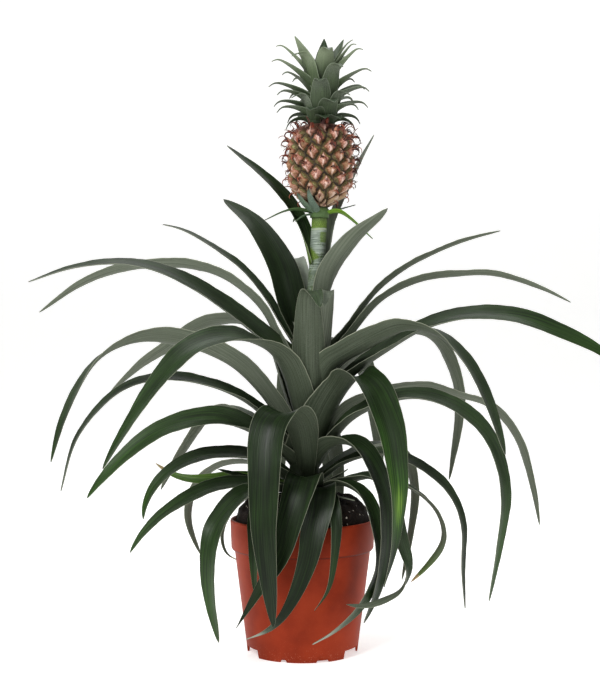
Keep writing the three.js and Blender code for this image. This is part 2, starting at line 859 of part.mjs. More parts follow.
// The fruit: a barrel skin of six-sided eyes in spirals, with grooves between them and a pointed bract on each.
function fruitGeometry() {
  const [turn5, turn8, turn13] = EYE_TURNS;
  const groove = -3;
  const cornerA = (i) => fruitPoint(i + 6, i * GOLDEN_ANGLE + (turn5 + turn13) / 3, groove);
  const cornerB = (i) => fruitPoint(i + 7, i * GOLDEN_ANGLE + (turn8 + turn13) / 3, groove);
  const positions = [];
  const face = (a, b, c) => [a, c, b].forEach((p) => positions.push(p.x, p.y, p.z));
  for (let i = -14; i < EYE_COUNT + 14; i += 1) {
    const corners = [cornerA(i), cornerB(i), cornerA(i - 5), cornerB(i - 13), cornerA(i - 13), cornerB(i - 8)];
    const middle = fruitPoint(i, i * GOLDEN_ANGLE, 0.3);
    const isEye = i >= 0 && i < EYE_COUNT;
    const shoulder = corners.map((corner) => corner.clone().lerp(middle, isEye ? 0.45 : 1));
    const axis = new THREE.Vector3(stemX(middle.z), 0, middle.z);
    const out = middle.clone().sub(axis).normalize();
    if (isEye) shoulder.forEach((corner) => corner.addScaledVector(out, 1.3));
    const tip = isEye ? middle.clone().addScaledVector(out, 4.2).add(new THREE.Vector3(0, 0, 2.5)) : middle;
    corners.forEach((corner, j) => {
      const k = (j + 1) % corners.length;
      if (isEye) {
        face(corner, shoulder[j], corners[k]);
        face(corners[k], shoulder[j], shoulder[k]);
        face(shoulder[j], tip, shoulder[k]);
      } else {
        face(corner, middle, corners[k]);
      }
    });
  }
  const geometry = new THREE.BufferGeometry();
  geometry.setAttribute("position", new THREE.Float32BufferAttribute(positions, 3));
  return geometry;
}

// Crown leaves as [azimuth, height of the tip, reach of the tip, width, arch where it isn't the usual one].
const CROWN_LEAVES = [
  // left
  [176, 547, 42, 15],
  [190, 531, 46, 16],
  [168, 522, 37, 15],
  [184, 509, 48, 16],
  [198, 500, 42, 16],
  [160, 501, 31, 14],
  [180, 492, 43, 15],
  [192, 485, 41, 14],
  [171, 478, 31, 13],
  [186, 471, 32, 12],
  // right
  [8, 552, 28, 13],
  [352, 547, 31, 14],
  [343, 541, 38, 16],
  [2, 524, 45, 16],
  [20, 516, 32, 15],
  [356, 505, 43, 16],
  [12, 509, 40, 14],
  [0, 491, 42, 15],
  [340, 487, 35, 14],
  [10, 477, 36, 13],
  [349, 470, 31, 12],
  // upright points
  [203, 552, 27, 24, -6],
  [78, 552, 9, 15, -4],
  [12, 554, 19, 17, -6],
  // rear
  [85, 551, 10, 17],
  [42, 540, 32, 16],
  [66, 527, 38, 17],
  [132, 520, 40, 16],
  [84, 508, 42, 16],
  [44, 500, 42, 16],
  [120, 498, 42, 16],
  [130, 480, 37, 14],
];

// Broad front leaves of the crown that stand up, bend over and hide their own tips:
// azimuth, height of the bend, reach, width.
const CROWN_HOODS = [
  [282, 544, 29, 20],
  [214, 537, 33, 22],
  [306, 526, 31, 20],
  [266, 512, 31, 20],
  [212, 500, 32, 14],
  [322, 502, 32, 17],
  [291, 494, 31, 20],
  [250, 487, 30, 18],
  [276, 480, 29, 16],
  [306, 480, 29, 15],
];

// The crown: short recurved leaves and hooded front leaves all round a tapered core.
function crownSolid() {
  const height = CROWN_TOP - CROWN_FOOT;
  const coreRings = [0, 0.15, 0.5, 0.85, 1].map((share) => {
    const z = CROWN_FOOT + share * height;
    const radius = CROWN_CORE_RADIUS * (1.15 - 0.75 * share);
    return Array.from({ length: 10 }, (_, j) => {
      const angle = (j / 10) * TURN;
      return new THREE.Vector3(stemX(z) + radius * Math.cos(angle), radius * Math.sin(angle), z);
    });
  });
  const pieces = [toSolid(loft(coreRings))];
  const startAt = (foot) => CROWN_CORE_RADIUS * (0.8 - (0.6 * (foot - CROWN_FOOT)) / height);
  CROWN_LEAVES.forEach(([azimuth, tip, reach, width, arch = lookUp(CROWN_ARCHES, tip)]) => {
    const foot = lookUp(CROWN_FEET, tip);
    const start = startAt(foot);
    const rise = tip - foot;
    const route = [
      [start, foot],
      [start + (reach - start) * 0.22, foot + rise * 0.3 + arch * 0.75],
      [start + (reach - start) * 0.6, foot + rise * 0.72 + arch],
      [reach, tip],
    ];
    const shares = arch < 0 ? [1, 0.9, 0.6, 0.06] : [1, 0.78, 0.36, 0.06];
    pieces.push(toSolid(crownLeafGeometry(route, degrees(azimuth), width, shares)));
  });
  CROWN_HOODS.forEach(([azimuth, bend, reach, width]) => {
    const foot = Math.max(CROWN_FOOT + 2, bend - 38);
    const start = startAt(foot);
    const rise = bend - foot;
    const route = [
      [start, foot],
      [start + (reach - start) * 0.2, foot + rise * 0.38],
      [start + (reach - start) * 0.4, foot + rise * 0.85],
      [start + (reach - start) * 0.6, bend],
      [reach, bend - 4.5],
    ];
    pieces.push(toSolid(crownLeafGeometry(route, degrees(azimuth), width, [0.85, 1, 1, 0.06])));
  });
  return wasm.Manifold.union(pieces);
}

// A crown leaf: a chevron section, with its width at even steps from the foot to the tip.
function crownLeafGeometry(route, angle, width, shares) {
  const outward = new THREE.Vector3(Math.cos(angle), Math.sin(angle), 0);
  const across = new THREE.Vector3(-outward.y, outward.x, 0);
  const knots = route.map(([reach, height]) =>
    outward.clone().multiplyScalar(reach).add(new THREE.Vector3(stemX(height), 0, height)),
  );
  const curve = new THREE.CatmullRomCurve3(knots, false, "centripetal");
  const rings = shares.map((share, i) => {
    const t = i / (shares.length - 1);
    const middle = curve.getPointAt(t);
    const face = curve.getTangentAt(t).cross(across);
    const half = (width * share) / 2;
    const corner = (side, raise) => middle.clone().addScaledVector(across, side).addScaledVector(face, raise);
    return [
      corner(-half, half * 0.4),
      corner(0, -0.7 - half * 0.25),
      corner(half, half * 0.4),
      corner(0, 0.7 - half * 0.25),
    ];
  });
  return loft(rings, { hub: 1, swap: 2 });
}

// A ring of small leaves round the top of the stalk.
function bractSolid() {
  const [foot, top] = [390, 398.6];
  const inner = stemRadius(foot) - 1;
  const outer = stemRadius(foot) + 1.4;
  const sleeve = turned([[inner, foot], [outer, foot], [outer, top], [inner, top], [inner, foot]], STEM_SIDES);
  const pieces = [toSolid(sleeve.translate(stemX(foot), 0, 0))];
  BRACTS.forEach((bract) => {
    const fold = [30, 20, 14];
    pieces.push(toSolid(leafGeometry({ ...bract, attach: foot, fold, base: 0.7 }, 0)));
  });
  return wasm.Manifold.union(pieces);
}

const stem = stemSolid(0);
const stemCutter = stemSolid(GAP);
const soil = toSolid(soilGeometry()).subtract(stemCutter);
const fruit = toSolid(fruitGeometry());
const crown = largestBody(crownSolid());
const bracts = largestBody(bractSolid().subtract(stemCutter).subtract(fruit));

addPiece("pot", toGeometry(potSolid()), 0xa8452c, 0.45);
addPiece("soil", toGeometry(soil), 0x2a1d15, 0.95);
addPiece("stem", toGeometry(stem), 0x8a9678, 0.7);
addPiece("fruit_bracts", toGeometry(bracts), 0x5f8a3a, 0.6);
addPiece("fruit", toGeometry(fruit), 0xc08468, 0.6);
addPiece("crown", toGeometry(crown), 0x5d7a62, 0.65);

// Each leaf gives way to the leaves above it, which grow inside it, and keeps a small gap to them.
const placed = [];
const overlapBoxes = (a, b) =>
  [0, 1, 2].every((i) => a.min[i] < b.max[i] && b.min[i] < a.max[i]);
LEAVES.forEach((leaf) => {
  let solid = toSolid(leafGeometry(leaf, 0)).subtract(stemCutter);
  const box = solid.boundingBox();
  placed
    .filter((other) => overlapBoxes(box, other.box))
    .forEach((other) => {
      solid = solid.subtract(other.cutter);
    });
  solid = largestBody(solid);
  const cutter = toSolid(leafGeometry(leaf, GAP));
  placed.push({ cutter, box: cutter.boundingBox() });
  addPiece(leaf.name, toGeometry(solid), 0x33492f, 0.5);
});

export default root;
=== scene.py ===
"""A young pineapple plant in its nursery pot: a rosette of long channelled leaves round a mealy stalk,
with a small fruit and its crown on top.

Lengths are in millimetres until a mesh is made, +Z is up, and the front of the plant faces -Y. Routes and
turned profiles are rows of numbers in text. A shape is its points, quads, triangles and named values.
"""

import bpy
import numpy as np
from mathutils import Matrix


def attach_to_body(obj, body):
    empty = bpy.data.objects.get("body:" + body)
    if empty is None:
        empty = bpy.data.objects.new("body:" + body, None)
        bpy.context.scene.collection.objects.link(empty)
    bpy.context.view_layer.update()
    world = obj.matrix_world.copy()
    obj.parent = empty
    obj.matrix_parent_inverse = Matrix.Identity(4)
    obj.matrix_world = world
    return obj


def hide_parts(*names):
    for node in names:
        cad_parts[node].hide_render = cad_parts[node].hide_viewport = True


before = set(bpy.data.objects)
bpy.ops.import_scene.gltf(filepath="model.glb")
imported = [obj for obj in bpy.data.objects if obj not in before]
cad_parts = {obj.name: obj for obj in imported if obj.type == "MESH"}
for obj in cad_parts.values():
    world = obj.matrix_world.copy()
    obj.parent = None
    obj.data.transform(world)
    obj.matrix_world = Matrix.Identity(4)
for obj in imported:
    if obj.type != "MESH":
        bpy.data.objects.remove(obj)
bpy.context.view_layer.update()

MM = 0.001
GOLDEN_ANGLE = np.pi * (3 - np.sqrt(5))

# The stem's middle as x at a height, and its radius at a height.
STEM_LEAN = [(120, 0), (200, 3), (250, 8), (300, 11), (350, 13), (400, 16), (560, 18)]
STEM_TAPER = [(128, 15), (200, 12.5), (260, 10), (310, 8.4), (345, 7.4), (400, 7.2)]
STEM_FOOT, STEM_TOP = 128, 399.6

# The pot's outer wall under its rim, and the stepped inside of its foot.
RIM_FOOT = 92
BODY_TOP_RADIUS = 61.2
BODY_FOOT_RADIUS = 49.5
SKIRT_INNER, SKIRT_MIDDLE, SKIRT_OUTER, SKIRT_TOP = 47, 49, 50.5, 7.3

FRUIT_FOOT, FRUIT_TOP = 400, 473
FRUIT_HEIGHT = FRUIT_TOP - FRUIT_FOOT
FRUIT_PROFILE = [
    (0, 8), (0.05, 15), (0.12, 22), (0.25, 28.5), (0.5, 30.5), (0.75, 30), (0.88, 27.5), (0.96, 22.5),
    (1, 17),
]
EYE_COUNT = 68
EYE_START = np.radians(-38.6)
CURL_COUNT = 330

CROWN_FOOT, CROWN_TOP = 473.4, 527
CROWN_CORE_RADIUS = 11
CROWN_FEET = [(470, 475.5), (485, 480), (500, 489), (520, 499), (535, 507), (553, 513)]
CROWN_ARCHES = [(470, 7), (485, 6), (509, 5), (547, 2)]

BRACT_FOOT = 390
CORE_VALUES = (0, 0, 0.2)

# Leaves: the length of a step along them, the fewest and the most rows, the columns, the thickness at the
# edges, and the steps in which each span of a route is first drawn. A leaf's grain starts so many
# millimetres further on than that of the leaf before it, so that no two are alike.
LEAF_STEP, LEAF_ROWS, LEAF_COLUMNS = 3.2, (26, 110), 15
EDGE_THICKNESS = 0.3
SPAN_STEPS = 60
SEED_ALONG, SEED_ACROSS = 900, 37

# The camera stands level in front of the plant. Its focal length is in pixels of the image.
SENSOR, IMAGE_HEIGHT, FOCAL_PIXELS = 36, 700, 1329
CAMERA_SHIFT = (-2.5, -10)
CAMERA_PLACE = (0, -1.2, 0.28)
PLANT_MIDDLE = (0, 0, 0.28)
PAPER_GLOW, ROOM_GLOW = 0.54, 0.16

# The long leaves: azimuth, height where the leaf leaves the stem, width, route, and what differs from a
# usual leaf. A route is the reach from the stem, the height and the sway, in the upright plane at the
# azimuth. Turn, fold, light and bloom are evenly spaced stops along the leaf, base is the share of its width
# at the foot, and dry is the length of a withered end. A mark adds to one look: its name, the place along
# and across, the length and the breadth as shares, and the amount.
LEAVES = {
    "stalk_left": (168, 350, 17, "3 349 4, 6 362 3, 13 384, 22 400, 35 417, 51 432, 84 458",
        dict(turn=[-20, -40, -40, -35], light=0.1, bloom=0, marks=[("light", 0, 0, 0.1, 2, 1.9),
        ("light", 0.08, 1, 0.2, 0.3, 1.3), ("light", 0.08, -1, 0.2, 0.3, 1.3)])),
    "stalk_right": (38, 320, 14, "3 312, 7 325, 12 357, 16 382, 25 401, 37 420, 50 442, 70 472",
        dict(base=0.5, turn=[20, 10, 0], bloom=1.5, marks=[("dry", 0.76, 0.4, 0.07, 0.5, 0.75)])),
    "stalk_fan": (335, 315, 26, "3 310, 9 324, 12 339, 21 353, 32 366, 45 378, 58 386, 70 396",
        dict(turn=[-20, -35, -30], bloom=[0.3, 0.9, 1])),
    "stalk_back": (101, 300, 30, "4 268, 14 290 4, 27 317 8, 38 343 9, 52 357 8, 72 357 5, 95 342 -2",
        dict(bloom=1.3)),
    "upright_front": (268, 232, 34, "3 226 1, 10 238 2, 15 262, 22 293, 29 313, 38 325 2, 48 321 8, "
        "54 308 11", dict(bloom=[0, 0.15, 0.3])),
    "upright_right": (300, 240, 24, "3 234, 10 246, 15 271 2, 20 300 4, 26 318 3, 33 326 -1, 39 319 -7, "
        "42 309 -11", dict(bloom=1.1)),
    "left_1": (155, 280, 37, "3 262, 12 285, 23 316, 31 345, 45 369, 61 389, 92 411",
        dict(turn=[-20, -42, -40], light=0.05, bloom=[0, 0, 0.25])),
    "left_2": (172, 275, 15, "5 256, 15 275, 27 294, 44 322, 65 346, 94 367, 122 382, 139 386",
        dict(turn=[-20, -25, -25], light=0.1, bloom=0.15)),
    "left_3": (188, 255, 30, "5 246, 22 268, 44 284, 66 302, 101 326, 137 343, 172 349, 214 344, 251 331",
        dict(turn=[-25, -35, -30, -20, -15], light=0.1, bloom=[0.1, 0.1, 0.4])),
    "left_4": (160, 255, 21, "5 250, 26 275, 48 311, 85 339, 121 350, 164 351, 189 349, 233 336, 282 307",
        dict(turn=[10, 30, 35, 25], bloom=0.8)),
    "left_5": (197, 205, 30, "4 190, 16 203, 40 235, 63 258, 86 271, 116 281, 150 282, 185 267, 204 242, "
        "220 206, 228 176",
        dict(turn=[10, 20, 30, 40, 10, -25, -25], light=[0.2, 0.3, 0.2, 0.3], bloom=[0.3, 0.8, 0.6, 0])),
    "left_6": (145, 205, 26, "5 192, 13 215, 24 243, 38 276, 64 295, 98 299, 128 292, 169 271, 194 259, "
        "240 228", dict(turn=[0, 0, 32, 32, 10], light=0.2, bloom=0.7)),
    "left_7": (222, 215, 37, "3 205, 10 224, 20 249, 35 269, 58 280, 82 284, 106 282, 133 273, 153 258, "
        "173 238, 206 197, 219 178",
        dict(base=1.15, turn=[5, 0, -25, -20, 0, 0], light=[0.1, 0.2, 0.35, 0.5], bloom=[0.1, 0.2, 0.05, 0])),
    "left_8": (183, 190, 20, "5 176, 18 194, 45 221, 63 232, 83 240, 122 247, 156 241, 180 225, 206 191, "
        "219 145", dict(base=1.25, turn=[-10, -28, -25], light=0.1, bloom=[0.1, 0.15, 0.4])),
    "left_9": (197, 180, 34, "4 166, 23 186, 40 197, 74 211, 97 211, 133 201, 162 181, 187 156, 196 144",
        dict(turn=[-10, -30, -32, -28], light=[0.1, 0.4, 0.5, 0.9], bloom=[0.2, 0.25, 0.1, 0])),
    "left_10": (150, 180, 25, "4 168, 26 190, 66 213, 83 218, 101 213, 126 185, 147 157, 160 136",
        dict(turn=[5, 10], bloom=0.8)),
    "left_11": (200, 155, 27, "4 148, 18 161, 40 175, 60 179, 93 179, 121 169, 140 151, 148 131, 148 125",
        dict(turn=[-10, -25, -25], light=[0, 0.05, 0.2, 0.8], bloom=[0, 0.1, 0.1, 0])),
    "left_12": (205, 145, 25, "4 142, 20 148, 48 153, 86 152, 111 143, 136 129, 154 112, 163 99",
        dict(base=0.6, turn=[-10, -25, -20], light=[0.1, 0.3, 0.7])),
    "left_13": (168, 150, 14, "4 146, 22 151, 64 155, 102 152, 124 156, 140 166",
        dict(base=0.6, turn=[-10, -40, -60, -60, -40], light=1.3, bloom=0, dry=22)),
    "left_14": (145, 150, 19, "4 147, 21 155, 55 167, 90 164, 109 156, 123 144, 133 128, 136 112, 133 99, "
        "120 75", dict(base=0.6, turn=[5, 10], bloom=0.8)),
    "left_15": (228, 145, 30, "4 142, 20 147, 54 152, 75 149, 91 141, 113 120, 119 96, 118 69, 111 39, "
        "107 25", dict(base=0.6, light=[0.1, 0.3, 0.7], bloom=0.05)),
    "left_16": (176, 145, 9, "4 143, 17 147, 46 154, 78 163",
        dict(base=0.6, turn=[-20, -50, -60], light=0.05, bloom=0)),
    "left_17": (130, 145, 9, "4 143, 30 150, 60 146, 79 134, 113 110, 124 88, 117 73, 99 69",
        dict(base=0.6, bloom=0.3, dry=12)),
    "right_1": (20, 265, 15, "4 256, 12 269, 29 286, 45 305, 62 325, 93 348, 124 363, 156 375, 191 384",
        dict(turn=[-20, -35, -35], light=0.2, bloom=[0, 0.3, 0.6])),
    "right_2": (8, 258, 16, "4 249, 17 262, 37 288, 59 314, 77 326, 106 337, 143 341, 171 341, 215 328, "
        "243 315", dict(turn=[-20, -30, -30], light=0.2, bloom=[0, 0.5, 0.8])),
    "right_3": (332, 235, 37, "3 228, 9 241, 21 260, 35 267, 70 284, 92 292, 125 286, 151 262, 168 233, "
        "179 204, 185 184", dict(turn=[-20, -25, -10, 10, 15], light=[0.1, 0.1, 0.3], bloom=[0.2, 0.1, 0.2])),
    "right_4": (350, 222, 31, "4 212, 15 227, 38 251, 70 273, 105 293, 145 303, 187 301, 221 289, 257 271, "
        "278 254", dict(turn=[5, 15, 22, 35, 60, 55], light=[0.1, 0.15, 0.3, 0.6], bloom=[0.1, 0.2, 0.1, 0])),
    "right_5": (35, 240, 28, "4 228, 22 246, 50 267, 86 283, 129 288, 155 276, 177 237, 178 203, 170 163, "
        "166 144", dict(bloom=0.6)),
    "right_6": (343, 172, 28, "3 160, 13 174, 31 201, 44 213, 74 227, 106 232, 142 220, 167 196, 179 164, "
        "181 142, 176 103, 167 54",
        dict(turn=[5, 20, 25, 25, 20], light=[0.1, 0.3, 0.4, 0.8], bloom=[0.1, 0.2, 0.15, 0])),
    "right_7": (18, 190, 27, "4 176, 19 193, 35 214, 67 227, 113 236, 156 227, 184 218, 212 188, 229 138, "
        "236 103", dict(turn=[-30, -35, -5, -8, -10], bloom=0.8)),
    "right_8": (348, 155, 18, "4 146, 17 157, 38 172, 74 180, 110 166, 132 146, 143 121, 143 77, 145 44",
        dict(base=0.6, turn=[10, 25, 20], light=0.15, bloom=0.2)),
    "right_9": (40, 160, 19, "4 150, 31 164, 81 181, 114 179, 131 164, 140 134, 136 101, 123 49",
        dict(base=0.6, bloom=0.4)),
    "right_10": (352, 142, 17, "4 143, 17 147, 49 156, 63 159, 96 149, 117 132, 125 116, 126 101, 114 82, "
        "97 64",
        dict(base=0.6, turn=[10, 20, 10, -10, -40, -60], light=[0.2, 0.3, 0.4, 1.5], bloom=0.2, dry=12)),
    "right_11": (340, 150, 12, "4 143, 16 150, 33 159, 42 165", dict(base=0.6, light=0.05)),
    "front_1": (255, 165, 37, "4 150 2, 15 167 5, 26 192 6, 38 212 4, 52 220 -4, 66 211 -12, 74 195 -14, "
        "82 170 -13, 87 145 -12, 91 121 -11, 94 71 -5, 93 40 -2",
        dict(base=0.45, fold=[36, 16, 12, 8], light=[0, 0.1, 0.1, -0.1], bloom=0)),
    "front_2": (250, 145, 32, "4 144 4, 20 150 10, 34 162 15, 48 163 18, 62 150 18, 71 128 14, 76 102 9, "
        "79 88 3, 81 72 -8, 83 55 -18, 85 35 -30",
        dict(taper=0.95, fold=[30, 12, 12, 8], light=[0, 0.05, 0.1, 0.1], bloom=0)),
    "front_3": (238, 150, 16, "4 142, 20 142 -2, 38 143 -5, 54 141 -8, 67 129 -8, 75 105 -4, 77 79 -2, 77 58",
        dict(base=0.6, light=[0, 0.1, 0.4], bloom=0)),
    "front_4": (272, 145, 28, "4 143 4, 18 146 10, 34 154 14, 48 150 13, 62 134 10, 71 114 5, 75 94 1, "
        "79 63 -11, 82 43 -24, 82 35 -34, 79 28 -51",
        dict(taper=1, fold=[30, 14, 10, 8], light=0, bloom=0, marks=[("bloom", 1, 0, 0.12, 3, 1.8)])),
    "front_5": (290, 142, 15, "4 142 2, 20 147 4, 40 149 6, 60 138 5, 68 126 5, 76 93, 77 67 -6, 74 51 -17",
        dict(taper=0.9, base=0.6, light=[0, 0.1, 0.3], bloom=0)),
    "front_6": (322, 148, 21, "4 144, 21 149, 41 155, 55 152, 68 145, 75 134, 79 120, 83 103, 84 90, "
        "81 75 -2, 77 54 -16, 70 38 -36, 63 30 -47, 54 23 -57",
        dict(base=0.6, light=[0.1, 0.3, 0.6], bloom=0, marks=[("bloom", 1, 0, 0.2, 3, 1.6)])),
    "front_7": (320, 160, 31, "3 156, 10 170, 24 186, 43 193, 65 187, 79 170, 86 156, 91 143, 92 104, 85 71, "
        "79 55, 68 34", dict(light=0.1, bloom=0)),
    # The second light mark of front_8 is a painted highlight near the middle of the blade.
    "front_8": (316, 195, 43, "3 178, 10 202 5, 22 228 12, 38 245 14, 61 252 2, 80 242, 93 221, 102 199, "
        "106 178, 109 157, 109 140, 104 102, 93 69",
        dict(taper=0.9, base=1.4, fold=[40, 22, 14, 10], turn=[0, 0, 0, 20, 17, 4, 0],
        light=[0.1, 0.2, 0.25, 0.35, 0.15], bloom=0, marks=[("light", 0.64, -0.7, 0.12, 0.3, 0.7),
        ("light", 0.77, 0.1, 0.09, 0.8, 1.2)])),
    "front_9": (335, 150, 17, "4 143, 21 152, 45 157, 69 160, 83 144, 94 105, 101 82, 99 67 -4, 90 58 -27, "
        "75 53 -40, 62 55 -47",
        dict(base=0.6, turn=[0, 0, 0, 20, 45, 55, 20, -35, -60, -60], light=[0.1, 0.2, 0.3], bloom=0.2)),
    "front_dry": (318, 142, 6, "4 144, 22 143, 43 142, 60 140", dict(base=0.6, light=0.2, bloom=1.2)),
    "rear_1": (90, 285, 28, "4 272, 14 292, 32 313, 62 320, 100 305, 135 270, 160 225, 172 175", {}),
    "rear_2": (68, 250, 28, "4 240, 18 258, 45 274, 85 280, 125 268, 160 235, 185 185, 195 130", {}),
    "rear_3": (100, 250, 27, "4 238, 18 256, 45 271, 80 275, 115 262, 145 228, 165 180, 172 130", {}),
    # Painted shade: a light of -1 paints this rear leaf dark.
    "rear_4": (82, 215, 28, "4 202, 20 222, 50 238, 90 238, 130 215, 160 175, 178 125, 184 70",
        dict(light=-1)),
    "rear_5": (104, 200, 26, "4 190, 22 209, 55 222, 95 218, 130 195, 155 158, 168 112, 172 62", {}),
    # Painted shade: a light of -1 paints this rear leaf dark.
    "rear_6": (76, 185, 24, "4 174, 22 190, 50 202, 85 200, 115 180, 138 145, 148 100", dict(light=-1)),
    "rear_7": (116, 170, 24, "4 160, 22 175, 50 185, 80 181, 105 159, 118 125, 122 85", {}),
    "rear_8": (88, 160, 22, "4 150, 22 162, 50 169, 80 161, 102 135, 112 100, 115 60", dict(base=0.6)),
}

# The crown leaves: azimuth, height of the tip, reach of the tip, width, and arch where it has its own.
CROWN_LEAVES = [
    (176, 547, 42, 15), (190, 531, 46, 16), (168, 522, 37, 15), (184, 509, 48, 16), (198, 500, 42, 16),
    (160, 501, 31, 14), (180, 492, 43, 15), (192, 485, 41, 14), (171, 478, 31, 13), (186, 471, 32, 12),
    (8, 552, 28, 13), (352, 547, 31, 14), (343, 541, 38, 16), (2, 524, 45, 16), (20, 516, 32, 15),
    (356, 505, 43, 16), (12, 509, 40, 14), (0, 491, 42, 15), (340, 487, 35, 14), (10, 477, 36, 13),
    (349, 470, 31, 12), (203, 552, 27, 24, -6), (78, 554, 9, 20, -4), (32, 554, 23, 26, -6),
    (85, 551, 10, 17), (42, 540, 32, 16), (66, 527, 38, 17), (132, 520, 40, 16), (84, 508, 42, 16),
    (44, 500, 42, 16), (120, 498, 42, 16), (130, 480, 37, 14),
]

# Broad front leaves of the crown that stand up and bend over: azimuth, height of the bend, reach, width.
CROWN_HOODS = [
    (282, 540, 29, 19), (214, 537, 33, 22), (306, 526, 31, 20), (266, 512, 31, 20), (212, 500, 32, 14),
    (322, 502, 32, 17), (291, 494, 31, 20), (250, 487, 30, 18), (276, 480, 29, 16), (306, 480, 29, 15),
]

# The small leaves under the fruit: azimuth, width, light and bloom, and route.
BRACTS = [
    (250, 9, (0.2, 1), "5 394, 12 398, 22 402, 31 413"),
    (196, 9, (0.6, 0.1), "5 394, 16 398, 30 397, 51 387"),
    (205, 6, (0.3, 0.4), "5 393, 14 394, 24 386"),
    (222, 11, (0.3, 0.7), "5 394, 13 398, 21 402, 27 411"),
    (354, 14, (1.1, 0), "5 394, 16 398, 28 390, 48 371"),
    (15, 6, (0.5, 0.3), "5 394, 20 399, 34 403"),
    (122, 9, (0.6, 0.2), "5 394, 16 398, 32 398, 46 390"),
    (84, 8, (0.6, 0.2), "5 394, 16 398, 30 400, 42 396"),
]


def numbers(text):
    """Rows of three numbers from text with a comma after each row; one that is left out is 0."""
    return np.array([[*map(float, row.split()), 0][:3] for row in text.split(",")])


def read(pairs, key):
    """The value at a key, or at each of an array of keys, on straight lines between (key, value) pairs."""
    keys, values = zip(*pairs)
    return np.interp(key, keys, values)


def spaced(stops, share):
    """The value at a share from 0 to 1 of evenly spaced stops, or of one value alone."""
    stops = np.atleast_1d(stops)
    return np.interp(share, np.linspace(0, 1, len(stops)), stops)


def ease(low, high, value):
    """0 below low, 1 above high, and a smooth S between: 3t^2 - 2t^3."""
    t = np.clip((value - low) / (high - low), 0, 1)
    return t * t * (3 - 2 * t)


def unit(vectors):
    """Each vector divided by its length."""
    return vectors / np.maximum(np.linalg.norm(vectors, axis=-1, keepdims=True), 1e-9)


def stacked(*parts):
    """Rows of numbers from parts that spread over one grid."""
    return np.stack(np.broadcast_arrays(*parts), -1)


def full_turn(columns):
    """The angles of a ring of points, as one row."""
    return np.linspace(0, 2 * np.pi, columns, endpoint=False)[None, :]


def turned(radius, turn, z, middle=0):
    """Points about an upright line: x = middle + radius cos(turn), y = radius sin(turn), at their heights."""
    return stacked(middle + radius * np.cos(turn), radius * np.sin(turn), z)


def travelled(line):
    """The distance along a line at each of its points, the running sum of the steps between them."""
    return np.concatenate([[0], np.cumsum(np.linalg.norm(np.diff(line, axis=0), axis=1))])


def read_rows(places, marks, rows):
    """Rows that are known at the marks, read at other places on straight lines between them."""
    return np.stack([np.interp(places, marks, column) for column in rows.T], 1)


def hash_of(n, seed):
    """An even spread of values from 0 to 1, one for each number n: what follows the point in
    917.3 |sin(7.131 n + 3.77 seed)|."""
    return np.modf(np.abs(np.sin(n * 7.131 + seed * 3.77) * 917.3))[0]


def smoothed(rows, spread):
    """Rows of numbers blurred along the first axis with a bell curve; the two ends stay where they are."""
    if spread < 0.3:
        return rows
    reach = int(np.ceil(3 * spread))
    bell = np.exp(-0.5 * (np.arange(-reach, reach + 1) / spread) ** 2)
    bell /= bell.sum()
    flat = rows.reshape(len(rows), -1)
    head = 2 * flat[0] - flat[1 : reach + 1][::-1]
    tail = 2 * flat[-1] - flat[-reach - 1 : -1][::-1]
    padded = np.concatenate([head, flat, tail])
    soft = np.stack([np.convolve(column, bell, "valid") for column in padded.T], 1)
    return soft.reshape(rows.shape)


def wobble(x, y, seed):
    """A gentle unevenness from -1 to 1: three crossed sine waves whose phases come from the seed."""
    phase = np.modf(np.sin(seed * 12.9898 + np.arange(6)) * 43758.5453)[0] * 6.28
    waves = np.sin(x + phase[0]) * np.cos(y + phase[1])
    waves = waves + 0.6 * np.sin(1.9 * x - 0.7 * y + phase[2]) * np.cos(1.7 * y + phase[3])
    return (waves + 0.3 * np.sin(3.7 * x + 2.9 * y + phase[4])) / 1.9


def midline(knots, count, soften):
    """A centripetal Catmull-Rom curve through the knots, softened by a bell curve of that many millimetres.

    Each span is the cubic c0 + c1 s + c2 s^2 + c3 s^3 whose end slopes come from the square roots of the
    distances between neighbouring knots. The result is count points evenly spaced along its length, the unit
    direction at each, and the length.
    """
    p = np.vstack([2 * knots[0] - knots[1], knots, 2 * knots[-1] - knots[-2]])
    root = np.sqrt(np.linalg.norm(np.diff(p, axis=0), axis=1))[:, None]
    d0, d1, d2 = root[:-2], root[1:-1], root[2:]
    x0, x1, x2, x3 = p[:-3], p[1:-2], p[2:-1], p[3:]
    slope1 = ((x1 - x0) / d0 - (x2 - x0) / (d0 + d1) + (x2 - x1) / d1) * d1
    slope2 = ((x2 - x1) / d1 - (x3 - x1) / (d1 + d2) + (x3 - x2) / d2) * d1
    s = np.linspace(0, 1, SPAN_STEPS, endpoint=False)[None, :, None]
    c2 = (-3 * x1 + 3 * x2 - 2 * slope1 - slope2)[:, None]
    c3 = (2 * x1 - 2 * x2 + slope1 + slope2)[:, None]
    line = (x1[:, None] + slope1[:, None] * s + c2 * s**2 + c3 * s**3).reshape(-1, 3)
    line = np.vstack([line, knots[-1]])
    fine = 6 * count
    for spread in (soften, 0):
        places = travelled(line)
        line = read_rows(np.linspace(0, places[-1], fine), places, line)
        line = smoothed(line, spread / (places[-1] / fine))
    keep, at = np.linspace(0, fine - 1, count), np.arange(fine)
    along = unit(read_rows(keep, at, np.gradient(line, axis=0)))
    return read_rows(keep, at, line), along, places[-1]


def grid_quads(rows, columns, wrap=False, loop=False):
    """Corner numbers of the quads of a grid that is stored row after row. Its last column joins its first one
    where it wraps, and its last row its first one where it loops."""
    i = np.arange(rows if loop else rows - 1)[:, None]
    j = np.arange(columns if wrap else columns - 1)[None, :]
    row, next_row, beside = i * columns, (i + 1) % rows * columns, (j + 1) % columns
    return np.stack([row + j, row + beside, next_row + beside, next_row + j], -1).reshape(-1, 4)


